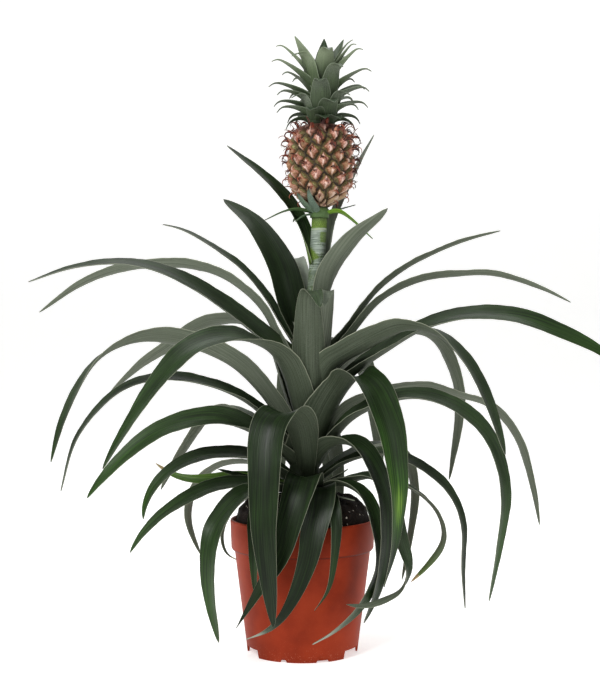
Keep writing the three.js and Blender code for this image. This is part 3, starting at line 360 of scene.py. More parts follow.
def blade_quads(rows, columns):
    """Corner numbers of a closed thin blade: the upper grid, then the lower grid, then their four edges."""
    size = rows * columns
    quads = grid_quads(rows, columns)
    j = np.arange(columns - 1)
    left = np.arange(rows - 1) * columns
    right, end = left + columns - 1, (rows - 1) * columns + j
    sides = [
        (right, right + columns, right + columns + size, right + size),
        (left, left + size, left + columns + size, left + columns),
        (j, j + 1, j + 1 + size, j + size),
        (end, end + size, end + 1 + size, end + 1),
    ]
    return np.concatenate([quads[:, ::-1], quads + size, *(np.stack(side, 1) for side in sides)])


def closed_rings(rows, columns):
    """Corner numbers of a closed skin over rings that run anticlockwise seen from the last one, and the two
    fans that close its ends on two more points, the first ring's middle and the last ring's."""
    j = np.arange(columns)
    beside, last = (j + 1) % columns, (rows - 1) * columns
    foot, top = np.full(columns, rows * columns), np.full(columns, rows * columns + 1)
    fans = np.stack([beside, j, foot], 1), np.stack([last + j, last + beside, top], 1)
    return grid_quads(rows, columns, True), np.concatenate(fans)


def closed_skin(rings):
    """The points, quads and triangles of a closed skin over a stack of rings, row after row."""
    points = np.vstack([rings.reshape(-1, 3), rings[0].mean(0), rings[-1].mean(0)])
    return points, *closed_rings(*rings.shape[:2])


def looped_skin(rings):
    """The points, quads and triangles of a skin over rings of which the last one joins the first."""
    return rings.reshape(-1, 3), grid_quads(*rings.shape[:2], True, True), []


def copies(corners, count, each):
    """Corner numbers of one shape after another, all alike, with so many points each."""
    return (corners + (each * np.arange(count))[:, None, None]).reshape(-1, corners.shape[1])


def joined(shapes):
    """Several shapes as one, in their order."""
    points, quads, triangles, values = zip(*shapes)
    first = np.cumsum([0, *map(len, points[:-1])])
    quads = [corners + start for corners, start in zip(quads, first)]
    triangles = [np.reshape(corners, (-1, 3)) + start for corners, start in zip(triangles, first)]
    merged = {key: np.vstack([each[key] for each in values]) for key in values[0]}
    return np.vstack(points), np.vstack(quads), np.vstack(triangles), merged


def add(name, data):
    """A new object in the scene."""
    thing = bpy.data.objects.new(name, data)
    bpy.context.scene.collection.objects.link(thing)
    return thing


def make_piece(name, points, quads, triangles, values, finish, slot, *replaces):
    """One mesh object from a shape in millimetres, riding on the plant, with its finish."""
    quads = np.asarray(quads, np.int32).reshape(-1, 4)
    triangles = np.asarray(triangles, np.int32).reshape(-1, 3)
    corners = np.concatenate([quads.ravel(), triangles.ravel()])
    sizes = np.concatenate([np.full(len(quads), 4), np.full(len(triangles), 3)])
    mesh = bpy.data.meshes.new(name)
    mesh.vertices.add(len(points))
    mesh.vertices.foreach_set("co", (np.asarray(points) * MM).astype(np.float32).ravel())
    mesh.loops.add(len(corners))
    mesh.loops.foreach_set("vertex_index", corners)
    mesh.polygons.add(len(sizes))
    mesh.polygons.foreach_set("loop_start", np.concatenate([[0], np.cumsum(sizes)[:-1]]).astype(np.int32))
    mesh.update(calc_edges=True)
    mesh.polygons.foreach_set("use_smooth", np.full(len(sizes), True))
    for key, rows in values.items():
        rows = np.asarray(rows, np.float32)
        mesh.attributes.new(key, "FLOAT_VECTOR", "POINT").data.foreach_set("vector", rows.ravel())
    mesh.materials.append(finish)
    thing = add(name, mesh)
    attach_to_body(thing, "root")
    if replaces:
        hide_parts(*replaces)


def paint(code):
    """A linear colour from a six-digit sRGB code."""
    srgb = np.array([int(code[i : i + 2], 16) for i in (0, 2, 4)]) / 255
    return (*np.where(srgb <= 0.04045, srgb / 12.92, ((srgb + 0.055) / 1.055) ** 2.4), 1.0)


def operation(name):
    """A method that adds a Math node of that name."""

    def method(self, *others):
        return self.finish.node("ShaderNodeMath", dict(enumerate((self, *others))), operation=name)

    return method


class Value:
    """One socket of a finish. Arithmetic on it adds Math nodes."""

    __add__ = __radd__ = operation("ADD")
    __mul__ = __rmul__ = operation("MULTIPLY")
    __sub__ = operation("SUBTRACT")
    size, sine = operation("ABSOLUTE"), operation("SINE")
    highest, lowest = operation("MAXIMUM"), operation("MINIMUM")

    def __init__(self, finish, socket):
        self.finish, self.socket = finish, socket

    def __rsub__(self, other):
        return self.finish.node("ShaderNodeMath", {0: other, 1: self}, operation="SUBTRACT")

    def ease(self, low, high):
        """0 at low and 1 at high, with a smooth S between; low may be above high."""
        sockets = {"Value": self, "From Min": low, "From Max": high}
        return self.finish.node("ShaderNodeMapRange", sockets, interpolation_type="SMOOTHSTEP")

    def part(self, axis):
        return self.finish.node("ShaderNodeSeparateXYZ", {0: self}, axis)

    def parts(self):
        return [self.part(axis) for axis in "XYZ"]


class Finish:
    """A material being made: one Principled shader, and the nodes that feed it."""

    def __init__(self, name, **constants):
        self.material = bpy.data.materials.new(name)
        self.material.use_nodes = True
        self.tree = self.material.node_tree
        self.inputs = self.tree.nodes["Principled BSDF"].inputs
        for key, value in constants.items():
            self.inputs[key.replace("_", " ")].default_value = value

    def feed(self, socket, value):
        """Sets a socket to a number, a vector or a colour code, or links another socket to it."""
        if isinstance(value, Value):
            self.tree.links.new(value.socket, socket)
        else:
            socket.default_value = paint(value) if isinstance(value, str) else value

    def node(self, kind, sockets, out=0, **settings):
        node = self.tree.nodes.new(kind)
        for key, value in settings.items():
            setattr(node, key, value)
        for key, value in sockets.items():
            self.feed(node.inputs[key], value)
        return Value(self, node.outputs[out])

    def attribute(self, name):
        return self.node("ShaderNodeAttribute", {}, "Vector", attribute_name=name)

    def place(self):
        """Object coordinates in millimetres."""
        return self.scaled(self.node("ShaderNodeTexCoord", {}, "Object"), (1000, 1000, 1000))

    def scaled(self, vector, by):
        return self.node("ShaderNodeVectorMath", {0: vector, 1: by}, operation="MULTIPLY")

    def noise(self, vector, scale, detail, roughness=0.55):
        """Noise at one scale, or at a scale of its own along each axis."""
        if isinstance(scale, tuple):
            vector, scale = self.scaled(vector, scale), 1
        sockets = {"Vector": vector, "Scale": scale, "Detail": detail, "Roughness": roughness}
        return self.node("ShaderNodeTexNoise", sockets)

    def cells(self, vector, scale):
        return self.node("ShaderNodeTexVoronoi", {"Vector": vector, "Scale": scale}, "Distance", feature="F1")

    def mix(self, share, first, second):
        """The first colour where share is 0 and the second one where it is 1."""
        return self.node("ShaderNodeMix", {0: share, 6: first, 7: second}, 2, data_type="RGBA")

    def done(self, colour, roughness, height=None, depth=None):
        """Feeds the shader and gives the material; height is in units of depth millimetres."""
        self.feed(self.inputs["Base Color"], colour)
        self.feed(self.inputs["Roughness"], roughness)
        if depth:
            sockets = {"Height": height, "Distance": depth * MM, "Strength": 1}
            self.feed(self.inputs["Normal"], self.node("ShaderNodeBump", sockets))
        return self.material


def leaf_finish():
    """Leaf skin. run holds the distance along the leaf and across it and the share of its half width; side
    holds 1 on the upper face, the share of the leaf's length, and the millimetres left to the tip; look holds
    how light the green is, how much grey bloom lies on it, and how dry it is."""
    f = Finish("leaf_skin", Specular_IOR_Level=0.18)
    run = f.attribute("run")
    edge = run.part("Z")
    upper, share, left = f.attribute("side").parts()
    light, bloom, dry = f.attribute("look").parts()
    veins = f.noise(run, (0.012, 1.6, 0), 2)
    streaks = f.noise(run, (0.015, 0.95, 0), 3)
    patches = f.noise(run, (0.03, 0.08, 0), 2)
    mealy = f.noise(f.place(), 1.3, 4, 0.7)
    dark = f.mix(streaks.ease(0.3, 0.75), "0d130b", "1b2615")
    fresh = f.mix(streaks.ease(0.3, 0.75), "203613", "3a5d22")
    lime = f.mix(streaks.ease(0.35, 0.7), "55851f", "8fb445")
    green = f.mix((light + (streaks - 0.5) * 0.3 + (patches - 0.5) * 0.5).ease(-0.2, 1.2), dark, fresh)
    green = f.mix((light + (streaks - 0.5) * 0.6).ease(0.9, 2.1), green, lime)
    green = f.mix(veins.ease(0.4, 0.8) * 0.22, green, "343f2e")
    green = f.mix(share.ease(0.22, 0.02) * 0.3, green, "4c5c38")
    grey = f.mix(mealy.ease(0.3, 0.7), "3b4337", "626a5b")
    grey = f.mix(bloom.ease(0.9, 1.6), grey, "8d9588")
    green = f.mix(bloom * (0.5 + 0.4 * patches.ease(0.35, 0.65)), green, grey)
    below = f.mix(veins.ease(0.3, 0.7), "30372b", "505848")
    below = f.mix(mealy.ease(0.42, 0.75) * 0.45, below, "697161")
    below = f.mix(patches.ease(0.3, 0.7) * 0.3, below, "37422d")
    # Painted shade: the underside is darker near the stem, where the other leaves shade it.
    below = f.mix(share.ease(0.3, 0.05) * 0.4, below, "2f3d25")
    below = f.mix(bloom * 0.55, below, f.mix(veins.ease(0.3, 0.7), "62695a", "838a7a"))
    below = f.mix(light.ease(0.6, 1.6) * 0.6, below, "6d8a3c")
    # Painted shade: a light below zero paints the underside dark, for leaves that stand in shadow at the
    # back.
    below = f.mix(light.ease(-0.2, -1) * 0.8, below, "20281a")
    colour = f.mix(upper, below, green)
    colour = f.mix(edge.ease(0.97, 0.995) * 0.6, colour, "a6aa94")
    withered = (dry + (streaks - 0.5) * 0.5 + (mealy - 0.5) * 0.3).ease(0.35, 0.65)
    colour = f.mix(withered, colour, f.mix(streaks.ease(0.3, 0.7), "7a6440", "bcae86"))
    spots = f.noise(run, (0.12, 0.5, 0), 4, 0.7).ease(0.68, 0.78)
    colour = f.mix(spots * left.ease(90, 10) * 0.5, colour, "7a5a32")
    gloss = upper.ease(0, 1) * (1 - bloom.lowest(1) * 0.7)
    roughness = 0.62 - gloss * 0.26 + (veins - 0.5) * 0.12
    return f.done(colour, roughness, veins * 0.5 + streaks * 0.6, 0.3)


def crown_finish():
    """Crown leaves: silvery scales over green, greener towards the foot of each leaf. The named values are
    those of the leaf skin."""
    f = Finish("crown_skin", Specular_IOR_Level=0.3)
    run, side, look = f.attribute("run"), f.attribute("side"), f.attribute("look")
    upper, share = side.part("X"), side.part("Y")
    chance, other = look.part("X"), look.part("Y")
    veins = f.noise(run, (0.05, 1.5, 0), 2)
    mealy = f.noise(f.place(), 1.1, 4, 0.7)
    silver = f.mix(mealy.ease(0.3, 0.7), "3d443a", "6d7565")
    silver = f.mix(veins.ease(0.35, 0.75) * 0.4, silver, "5d6851")
    fresh = f.mix(veins.ease(0.3, 0.7), "28361a", "4c5f38")
    foot = (share + (mealy - 0.5) * 0.25 + (chance - 0.5) * 0.3).ease(0.7, 0.34)
    below = f.mix(foot * 0.8, silver, fresh)
    below = f.mix(chance.ease(0.45, 0) * 0.45, below, "2a3426")
    above = f.mix(veins.ease(0.3, 0.7), "1c2918", "384b2e")
    above = f.mix(other * 0.45, above, "56634f")
    colour = f.mix(upper, below, above)
    rim = run.part("Z").ease(0.9, 0.985)
    colour = f.mix(rim * 0.35, colour, "8f9a84")
    height = f.place().part("Z")
    # Painted shade: the crown is darker low down next to the fruit, where its own leaves shade it.
    colour = f.mix(height.ease(CROWN_FOOT + 24, CROWN_FOOT + 4) * 0.5, colour, "1b2915")
    colour = f.mix(height.ease(CROWN_TOP - 10, CROWN_TOP + 10) * (1 - upper) * 0.4, colour, "8c9a78")
    return f.done(colour, 0.55 - upper * 0.12 + mealy * 0.1, veins * 0.6 + mealy * 0.4, 0.18)


def rind_finish():
    """The fruit's skin: eye holds the place in an eye across and up, in millimetres, and the distance to the
    groove round it; kind holds a chance from 0 to 1 for each eye, how far inside its bract, and height."""
    f = Finish("rind_skin", Specular_IOR_Level=0.35)
    across, upward, groove = f.attribute("eye").parts()
    chance, bract, share = f.attribute("kind").parts()
    place = f.place()
    broad = f.noise(place, 0.3, 3)
    speck = f.noise(place, 0.9, 5, 0.65)
    fine = f.noise(place, 3, 3)
    pink = f.mix(speck.ease(0.32, 0.68), "7d4636", "cc9a8a")
    pink = f.mix((chance + (broad - 0.5) * 1.5).ease(0.5, 1) * 0.7, pink, "97784f")
    # Painted highlight: a pale streak down each bract's keel.
    pink = f.mix((across + 0.3).size().ease(1.5, 0.2) * (fine + 0.2).lowest(1) * 0.8, pink, "f1d8cb")
    pink = f.mix((bract + (speck - 0.5) * 0.3).ease(0.38, 0.08) * 0.7, pink, "8a5a38")
    pink = f.mix(share.ease(0.32, 0.05) * 0.45, pink, "b5a585")
    green = f.mix(speck.ease(0.3, 0.7), "413a18", "9c965f")
    green = f.mix((groove + (speck - 0.5) * 2).ease(3.2, 1.6) * 0.6, green, "45301a")
    edge = bract + (speck - 0.5) * 0.3 + (fine - 0.5) * 0.15
    colour = f.mix(edge.ease(-0.01, 0.03), green, pink)
    colour = f.mix(edge.size().ease(0.09, 0.02) * 0.75, colour, "6b3120")
    above = upward - 1.2
    spot = (across * across + above * above).ease(3.5, 0.8) * (chance * 7).sine().ease(-0.2, 0.6)
    colour = f.mix(spot * 0.8, colour, "55201a")
    rim = groove + (fine - 0.5) * 1.1 + (broad - 0.5) * 1.2
    deep = f.noise(place, 0.22, 4, 0.6).ease(0.38, 0.56)
    moss = f.mix(speck, "2f240c", "5c4c26")
    colour = f.mix(rim.ease(1.7, 0.6) * 0.75, colour, f.mix(deep, moss, "3b2010"))
    colour = f.mix(rim.ease(0.9, 0.1) * (0.6 + 0.35 * deep), colour, "120904")
    colour = f.mix(share.ease(0.86, 0.97) * 0.8, colour, "43221a")
    return f.done(colour, 0.45 + speck * 0.25, speck * 0.6 + fine * 0.4, 0.45)


def paper_finish():
    """Withered ends: paper holds the share of the length, the share of the half width, and a chance."""
    f = Finish("withered_paper", Specular_IOR_Level=0.35)
    along, edge, chance = f.attribute("paper").parts()
    fine = f.noise(f.place(), 1.6, 3)
    base = f.mix(fine.ease(0.35, 0.65), "8a4a34", "cf9678")
    worn = f.mix((fine + (chance - 0.5) * 0.6).ease(0.4, 0.65), "3c1812", "8c3f2a")
    colour = f.mix((along + (fine - 0.5) * 0.3).ease(0.12, 0.42), base, worn)
    colour = f.mix(along.ease(0.75, 1) * 0.8, colour, "2c1614")
    colour = f.mix(edge.ease(0.6, 1) * 0.3, colour, "b07858")
    return f.done(colour, 0.5, fine, 0.2)


def bract_finish():
    """Small leaves under the fruit: green to lime by their light, dull blue-green where bloom lies. The named
    values are those of the leaf skin."""
    f = Finish("bract_skin", Specular_IOR_Level=0.3)
    run, side, look = f.attribute("run"), f.attribute("side"), f.attribute("look")
    light, bloom = look.part("X"), look.part("Y")
    veins = f.noise(run, (0.03, 1.4, 0), 2)
    mealy = f.noise(f.place(), 1.3, 4, 0.7)
    green = f.mix(veins.ease(0.3, 0.7), "26391a", "48632f")
    lime = f.mix(veins.ease(0.3, 0.7), "4c7a16", "86ad35")
    colour = f.mix(light.ease(0.5, 1.3), green, lime)
    blue = f.mix(mealy.ease(0.3, 0.7), "46574a", "76877a")
    colour = f.mix(bloom * 0.9, colour, blue)
    colour = f.mix(side.part("Y").ease(0.8, 1) * 0.7, colour, "39402c")
    return f.done(colour, 0.5, veins, 0.15)


def stalk_finish():
    """The stalk: grey-green meal over fine cross ribs, lime where the meal is worn off, greener lower down,
    and painted dark below 310 mm as shade from the leaves round it. The heights and the sideways places are
    millimetres on the plant."""
    f = Finish("stalk_skin", Specular_IOR_Level=0.25)
    place = f.place()
    sideways, height = place.part("X"), place.part("Z")
    cross = f.noise(place, (0.1, 0.1, 1.9), 2)
    mealy = f.noise(place, 0.9, 5, 0.7)
    broad = f.noise(place, 0.11, 2)
    green = f.mix(cross.ease(0.3, 0.7), "3b4c2c", "667650")
    meal = f.mix(cross.ease(0.35, 0.65), "5f6b60", "98a398")
    lime = f.mix(mealy.ease(0.3, 0.7), "44571c", "698236")
    cover = (mealy + (broad - 0.5) * 0.9 + height.ease(300, 365) * 0.35 - 0.2).ease(0.4, 0.62)
    colour = f.mix(cover, green, meal)
    bare = (height + (mealy - 0.5) * 2).ease(380, 381.2)
    worn = (sideways + (mealy - 0.5) * 3).ease(15.2, 16.6) * (height + (mealy - 0.5) * 2).ease(367, 368.5)
    worn = worn * height.ease(378, 376.5) * 0.8
    heel = (height - sideways * 0.35 + (mealy - 0.5) * 1.5).ease(347.5, 349)
    heel = heel * (height * 0.9 + sideways + (mealy - 0.5) * 3).ease(336.5, 332.5)
    colour = f.mix(bare.highest(worn).highest(heel), colour, lime)
    joint = (height + (mealy - 0.5) * 1.5 - 379.6).size().ease(1.2, 0.3)
    colour = f.mix(joint * 0.5, colour, "aab393")
    colour = f.mix(height.ease(392, 384), f.mix(mealy, "2b3a1c", "4c5f3a"), colour)
    colour = f.mix(height.ease(352, 338) * 0.4, colour, "48583a")
    # Painted shade: the stalk is dark low down, where the leaves round it shade it.
    colour = f.mix(height.ease(310, 250) * 0.85, colour, "20291a")
    return f.done(colour, 0.6, cross * 0.8 + mealy * 0.2, 0.35)


def soil_finish():
    """Potting mix: brown-black crumbs and fibres with a few pale grains."""
    f = Finish("potting_mix", Specular_IOR_Level=0.2)
    place = f.place()
    crumbs = f.noise(place, 0.5, 6, 0.7)
    fibres = f.noise(place, (0.25, 1.4, 0.8), 4, 0.6)
    colour = f.mix(crumbs.ease(0.3, 0.7), "070504", "241810")
    colour = f.mix(fibres.ease(0.6, 0.75) * 0.7, colour, "3f2c1c")
    grain = f.cells(place, 0.16).ease(0.16, 0.12)
    colour = f.mix(grain * crumbs.ease(0.45, 0.5), colour, "cfc8ba")
    return f.done(colour, 0.9, crumbs * 0.7 + fibres * 0.3, 1.2)


def pot_finish():
    """Smooth terracotta plastic, faintly mottled, dusty and a little scuffed near the foot and the rim."""
    f = Finish("pot_plastic", Specular_IOR_Level=0.08)
    place = f.place()
    height = place.part("Z")
    broad = f.noise(place, 0.03, 3)
    fine = f.noise(place, 0.9, 4, 0.6)
    drawn = f.noise(place, (0.02, 0.02, 0.9), 3)
    colour = f.mix(broad.ease(0.3, 0.7), "822a14", "98351a")
    colour = f.mix(fine.ease(0.55, 0.8) * 0.25, colour, "b9553a")
    worn = fine.ease(0.6, 0.7) * height.ease(16, 2).highest(height.ease(116, 119.5))
    colour = f.mix(worn * 0.6, colour, "c98a72")
    # Painted shadow: a thin dark band just under the rim, where the rim shades the wall.
    fold = (height - RIM_FOOT - 0.3).size().ease(1.4, 0.5)
    colour = f.mix(fold * 0.7, colour, "4c1608")
    # Darker blotches towards the rim.
    blotches_near_rim = f.noise(place, 0.2, 5, 0.7).ease(0.62, 0.72) * height.ease(88, 118)
    colour = f.mix(blotches_near_rim * 0.35, colour, "4a2418")
    return f.done(colour, 0.4 + fine * 0.12 + broad * 0.06, drawn * 0.7 + fine * 0.3, 0.06)


def blade_frame(knots, azimuth, attach, count, turn=0, soften=6.0):
    """A leaf's midline from its [reach, height, sway] knots in the upright plane at its azimuth, with the
    unit directions across the blade and out of its upper face, and its length.

    The blade lies flat across the plane: the sideways direction less its part along the leaf. It is then
    rolled about the midline by the turn, in degrees.
    """
    angle = np.radians(azimuth)
    outward = np.array([np.cos(angle), np.sin(angle), 0])
    sideways = np.array([-np.sin(angle), np.cos(angle), 0])
    places = knots[:, :1] * outward + knots[:, 2:] * sideways + knots[:, 1:2] * (0, 0, 1)
    places = places + (read(STEM_LEAN, attach), 0, 0)
    middle, along, length = midline(places, count, soften)
    flat = unit(sideways - along * (along @ sideways)[:, None])
    up = np.cross(along, flat)
    share = np.linspace(0, 1, count)
    roll = np.radians(smoothed(spaced(turn, share)[:, None], count * 0.05))
    across = flat * np.cos(roll) + up * np.sin(roll)
    return middle, across, np.cross(along, across), length


def width_share(share, base, taper=0.55):
    """A sheath at the base, an S-shaped rise to the widest part, then ((1 - t) / 0.7) ^ taper to the tip."""
    widest = 0.3
    rise = base + (1 - base) * ease(0, 1, share / widest)
    fall = np.maximum(0.02, (np.maximum(1 - share, 0) / (1 - widest)) ** taper)
    return np.where(share < widest, rise, fall)


def blade(lines, columns, half, spread, raised, thickness, wave, seed, light=0.3, bloom=0.1, dry=0, marks=()):
    """The shape of a closed channelled blade, upper grid then lower grid, with the values its skin reads.

    Across the blade s runs from -1 to 1. At its edges it reaches the spread, a share of the half width. The
    channel is raised as 2 |s|^1.6 - 1, and the margins wave gently. The blade is thickest in the middle and
    thins out to its edges as 1 - s^4. The light and the bloom run along it through their stops. The dry end
    fades in over its length. Each mark adds its amount as exp(-(share / length)^2 - (side / breadth)^2) about
    its middle.
    """
    middle, across, face, length = lines
    count = len(half)
    s = np.sin(np.linspace(-np.pi / 2, np.pi / 2, columns))
    size = np.abs(s)
    reach, channel = spread * half, (raised * half)[:, None] * (2 * size**1.6 - 1)
    run_on = np.linspace(0, length, count)[:, None]
    ripple = wobble(run_on / 9 + 40 * (s > 0), run_on / 23, seed) * wave * size**3
    ripple = ripple * (reach / reach.max())[:, None]
    thick = thickness[:, None] * (1 - size**4) + EDGE_THICKNESS
    base = middle[:, None] + across[:, None] * (s * reach[:, None])[..., None]
    lie = (channel + ripple)[..., None] * face[:, None]
    rise = face[:, None] * (thick / 2)[..., None]
    points = np.concatenate([base + lie + rise, base + lie - rise]).reshape(-1, 3)

    share = np.linspace(0, 1, count)[:, None] + 0 * s
    left = (1 - share) * length
    looks = {
        "light": spaced(light, share),
        "bloom": spaced(bloom, share),
        "dry": ease(1.25, 0.3, left / dry) if dry else 0 * share,
    }
    for kind, place, centre, long, broad, amount in marks:
        mark = np.exp(-(((share - place) / long) ** 2) - ((s - centre) / broad) ** 2)
        looks[kind] = looks[kind] + amount * mark
    run = stacked(share * length + SEED_ALONG * seed, half[:, None] * s + SEED_ACROSS * seed, size)
    side, look = stacked(1, share, left), stacked(*looks.values())
    faces = {"run": [run, run], "side": [side, side * (0, 1, 1)], "look": [look, look]}
    values = {key: np.stack(pair).reshape(-1, 3) for key, pair in faces.items()}
    return points, blade_quads(count, columns), [], values


def make_leaf(
    name, seed, skin, azimuth, attach, width, route, base=1, turn=0, fold=(46, 24, 16, 12), taper=0.55, **look
):
    """One long leaf: a closed thin blade of about three millimetres a step."""
    knots = numbers(route)
    count = int(np.clip(travelled(knots[:, :2])[-1] / LEAF_STEP, *LEAF_ROWS))
    share = np.linspace(0, 1, count)
    lines = blade_frame(knots, azimuth, attach, count, turn)
    half = width * width_share(share, base, taper) / 2
    lift = np.radians(smoothed(spaced(fold, share)[:, None], count * 0.04)[:, 0])
    raised, thickness = np.sin(lift) / 2, 1.1 * (1 - 0.4 * share)
    shape = blade(lines, LEAF_COLUMNS, half, np.cos(lift), raised, thickness, 0.9, seed, **look)
    make_piece("blade_" + name, *shape, skin, "leaf", "leaf_" + name)


def crown_route(foot, height, reach, outward, climb, lift):
    """Knots of a crown leaf from beside the core, at shares of the way out to the reach and of the climb to
    the height, each lifted by some millimetres more."""
    start = CROWN_CORE_RADIUS * (0.8 - 0.6 * (foot - CROWN_FOOT) / (CROWN_TOP - CROWN_FOOT))
    out = start + (reach - start) * np.array(outward)
    return stacked(out, foot + (height - foot) * np.array(climb) + lift, 0)


def crown_leaves():
    """For each crown leaf its azimuth, foot height, route, width, the shape of its half width, and how deep
    its channel is.

    A slim leaf climbs from its foot, arches over and hooks a little at the tip. An upright one is broader. A
    hooded one stands up beside the core, bends over and comes forward, broad as far as the bend.
    """
    slim = [
        (0, 1), (0.2, 0.95), (0.35, 0.76), (0.5, 0.53), (0.67, 0.35), (0.82, 0.2), (0.95, 0.08), (1, 0.03),
    ]
    upright = [(0, 1), (0.35, 0.9), (0.65, 0.62), (0.9, 0.22), (1, 0.03)]
    hooded = [(0, 0.85), (0.3, 1), (0.52, 0.96), (0.7, 0.76), (0.79, 0.58), (0.9, 0.26), (1, 0.03)]
    arching, hooking = np.array([(0, 0.75, 1, 0.45, 0), (0, 0, 0, 1, -1)])
    for azimuth, tip, reach, width, *arch in CROWN_LEAVES:
        foot = read(CROWN_FEET, tip)
        arch = arch[0] if arch else read(CROWN_ARCHES, tip)
        lift = arch * arching + (1.2 if reach > 29 else 0) * hooking
        route = crown_route(foot, tip, reach, [0, 0.22, 0.6, 0.88, 1], [0, 0.3, 0.72, 0.94, 1], lift)
        yield azimuth, foot, route, width, upright if arch < 0 else slim, 0.33
    for azimuth, bend, reach, width in CROWN_HOODS:
        foot = max(CROWN_FOOT + 2, bend - 38)
        lift = [0, 0, 0, 0, -4.5]
        route = crown_route(foot, bend, reach, [0, 0.2, 0.4, 0.6, 1], [0, 0.38, 0.85, 1, 1], lift)
        yield azimuth, foot, route, width, hooded, 0.1


def make_crown(skin):
    """The crown: its leaves all round a core that tapers from 1.15 to 0.4 of its radius, in one mesh."""
    count, columns, shapes = 30, 11, []
    share = np.linspace(0, 1, count)
    thickness = 0.9 * (1 - 0.5 * share)
    for i, (azimuth, foot, route, width, outline, channel) in enumerate(crown_leaves()):
        middle, *rest = blade_frame(route, azimuth, foot, count, soften=2.0)
        middle[:, 0] += read(STEM_LEAN, middle[:, 2]) - read(STEM_LEAN, foot)
        half, light, bloom = width / 2 * read(outline, share), hash_of(i, 6), hash_of(i, 7)
        shapes.append(blade((middle, *rest), columns, half, 0.97, channel, thickness, 0.25, i, light, bloom))
    rise = np.linspace(0, 1, 12)[:, None]
    z = CROWN_FOOT + rise * (CROWN_TOP - CROWN_FOOT)
    core = closed_skin(turned(CROWN_CORE_RADIUS * (1.15 - 0.75 * rise), full_turn(24), z, read(STEM_LEAN, z)))
    plain = np.tile(CORE_VALUES, (len(core[0]), 1))
    shapes.append((*core, {"run": plain, "side": plain, "look": plain}))
    make_piece("crown_tuft", *joined(shapes), skin, "crown_leaf", "crown")


def make_bracts(skin):
    """The ring of small leaves under the fruit, and the sleeve that they grow from."""
    count, columns, shapes = 30, 9, []
    share = np.linspace(0, 1, count)
    half_share, thickness = width_share(share, 0.7), 0.9 * (1 - 0.4 * share)
    lift = np.radians(read([(0, 30), (0.5, 20), (1, 14)], share))
    for i, (azimuth, width, look, route) in enumerate(BRACTS):
        lines = blade_frame(numbers(route), azimuth, BRACT_FOOT, count)
        half, raised = width * half_share / 2, np.sin(lift) / 2
        shapes.append(blade(lines, columns, half, np.cos(lift), raised, thickness, 0.2, i, *look))
    radius = read(STEM_TAPER, BRACT_FOOT) + np.array([[0.15], [1.35], [1.25], [0.15]])
    z = BRACT_FOOT + np.array([[0], [0.4], [8.2], [8.6]])
    sleeve = looped_skin(turned(radius, full_turn(32), z, read(STEM_LEAN, BRACT_FOOT)))
    plain, look = (np.tile(row, (len(sleeve[0]), 1)) for row in (CORE_VALUES, (0.7, 0.2, 0)))
    shapes.append((*sleeve, {"run": plain, "side": plain, "look": look}))
    make_piece("bract_ring", *joined(shapes), skin, "bract", "fruit_bracts")


def make_stem(skin):
    """The stem: rings about its leaning middle, of the taper's radius less 0 to 0.5 by a gentle wobble."""
    z = np.linspace(STEM_FOOT, STEM_TOP, 150)[:, None]
    turn = full_turn(40)
    radius = read(STEM_TAPER, z) - 0.25 + 0.25 * wobble(3 * turn, z / 6, 3)
    rings = turned(radius, turn, z, smoothed(read(STEM_LEAN, z), 8))
    make_piece("stalk", *closed_skin(rings), {}, skin, "stem", "stem")


def eye_places(counts):
    """The share of the fruit's height and the turn of each eye, one golden angle on from the eye before,
    clockwise seen from above, each a little off its place."""
    share = 0.06 + 0.88 * (counts + 0.5) / EYE_COUNT + 0.012 * (hash_of(counts, 11) - 0.5)
    return share, EYE_START - counts * GOLDEN_ANGLE + 0.06 * (hash_of(counts, 12) - 0.5)


def make_rind(skin):
    """The fruit: a barrel whose skin rises into an eye round each point of a golden-angle spiral.

    For every point of the skin the nearest two spiral points are found. Half the difference of their
    distances is how far it lies from the groove between them, and the skin rises with that as an S. The
    eye's bract is a rhombus, 1 - |across| / 6 - |up + 0.8| / 6.2, that stands a little proud with a keel down
    its middle. Two low lobes lie above it.
    """
    rows, columns = 170, 400
    turn, share = full_turn(columns), np.linspace(0, 1, rows)[:, None]
    angle, level = (grid.ravel() for grid in np.broadcast_arrays(turn, share))
    radius = read(FRUIT_PROFILE, level)
    eye_share, eye_turn = eye_places(np.arange(-14, EYE_COUNT + 14))
    swing = (angle[:, None] - eye_turn[None, :] + np.pi) % (2 * np.pi) - np.pi
    across = swing * np.maximum(radius, 12)[:, None] + 1.1 * wobble(13 * angle, 60 * level, 5)[:, None]
    upward = (level[:, None] - eye_share[None, :]) * FRUIT_HEIGHT
    upward = upward + 1.1 * wobble(17 * angle, 50 * level, 8)[:, None]
    distance = np.hypot(across, 1.02 * upward)
    order = np.argsort(distance, 1)[:, :2]
    nearest, second = np.take_along_axis(distance, order, 1).T
    groove = (second - nearest) / 2
    own = np.arange(len(order)), order[:, 0]
    chance = hash_of(order[:, 0], 1)
    across, upward = across[own] + 0.8 * (chance - 0.5), upward[own]
    bract = 1 - np.abs(across) / 6 - np.abs(upward + 0.8) / 6.2
    lobes = sum(np.exp(-((across - x) ** 2 + (upward - 3.8) ** 2) / 5) for x in (-3.1, 3.3))
    keel = np.maximum(0, 1 - np.abs(across) / 3.6) * ease(0, 0.55, bract)
    raised = 3.6 * ease(0, 4.2, groove) - 4.8 + ease(0.4, 2, groove) * (
        0.9 * lobes + 1.3 * keel + 0.5 * ease(0, 0.08, bract) + 0.15 * wobble(2.2 * across, 2 * upward, 3)
    )
    pinch = ease(0, 0.04, level) * ease(1, 0.97, level)
    z = FRUIT_FOOT + share * FRUIT_HEIGHT
    rings = turned((radius + raised * pinch).reshape(rows, columns), turn, z, read(STEM_LEAN, z))
    ends = [(0, 0, 2)] * 2
    values = {"eye": stacked(across, upward, groove), "kind": stacked(chance, bract, level)}
    values = {key: np.vstack([value, ends]) for key, value in values.items()}
    make_piece("rind", *closed_skin(rings), values, skin, "fruit_skin", "fruit")


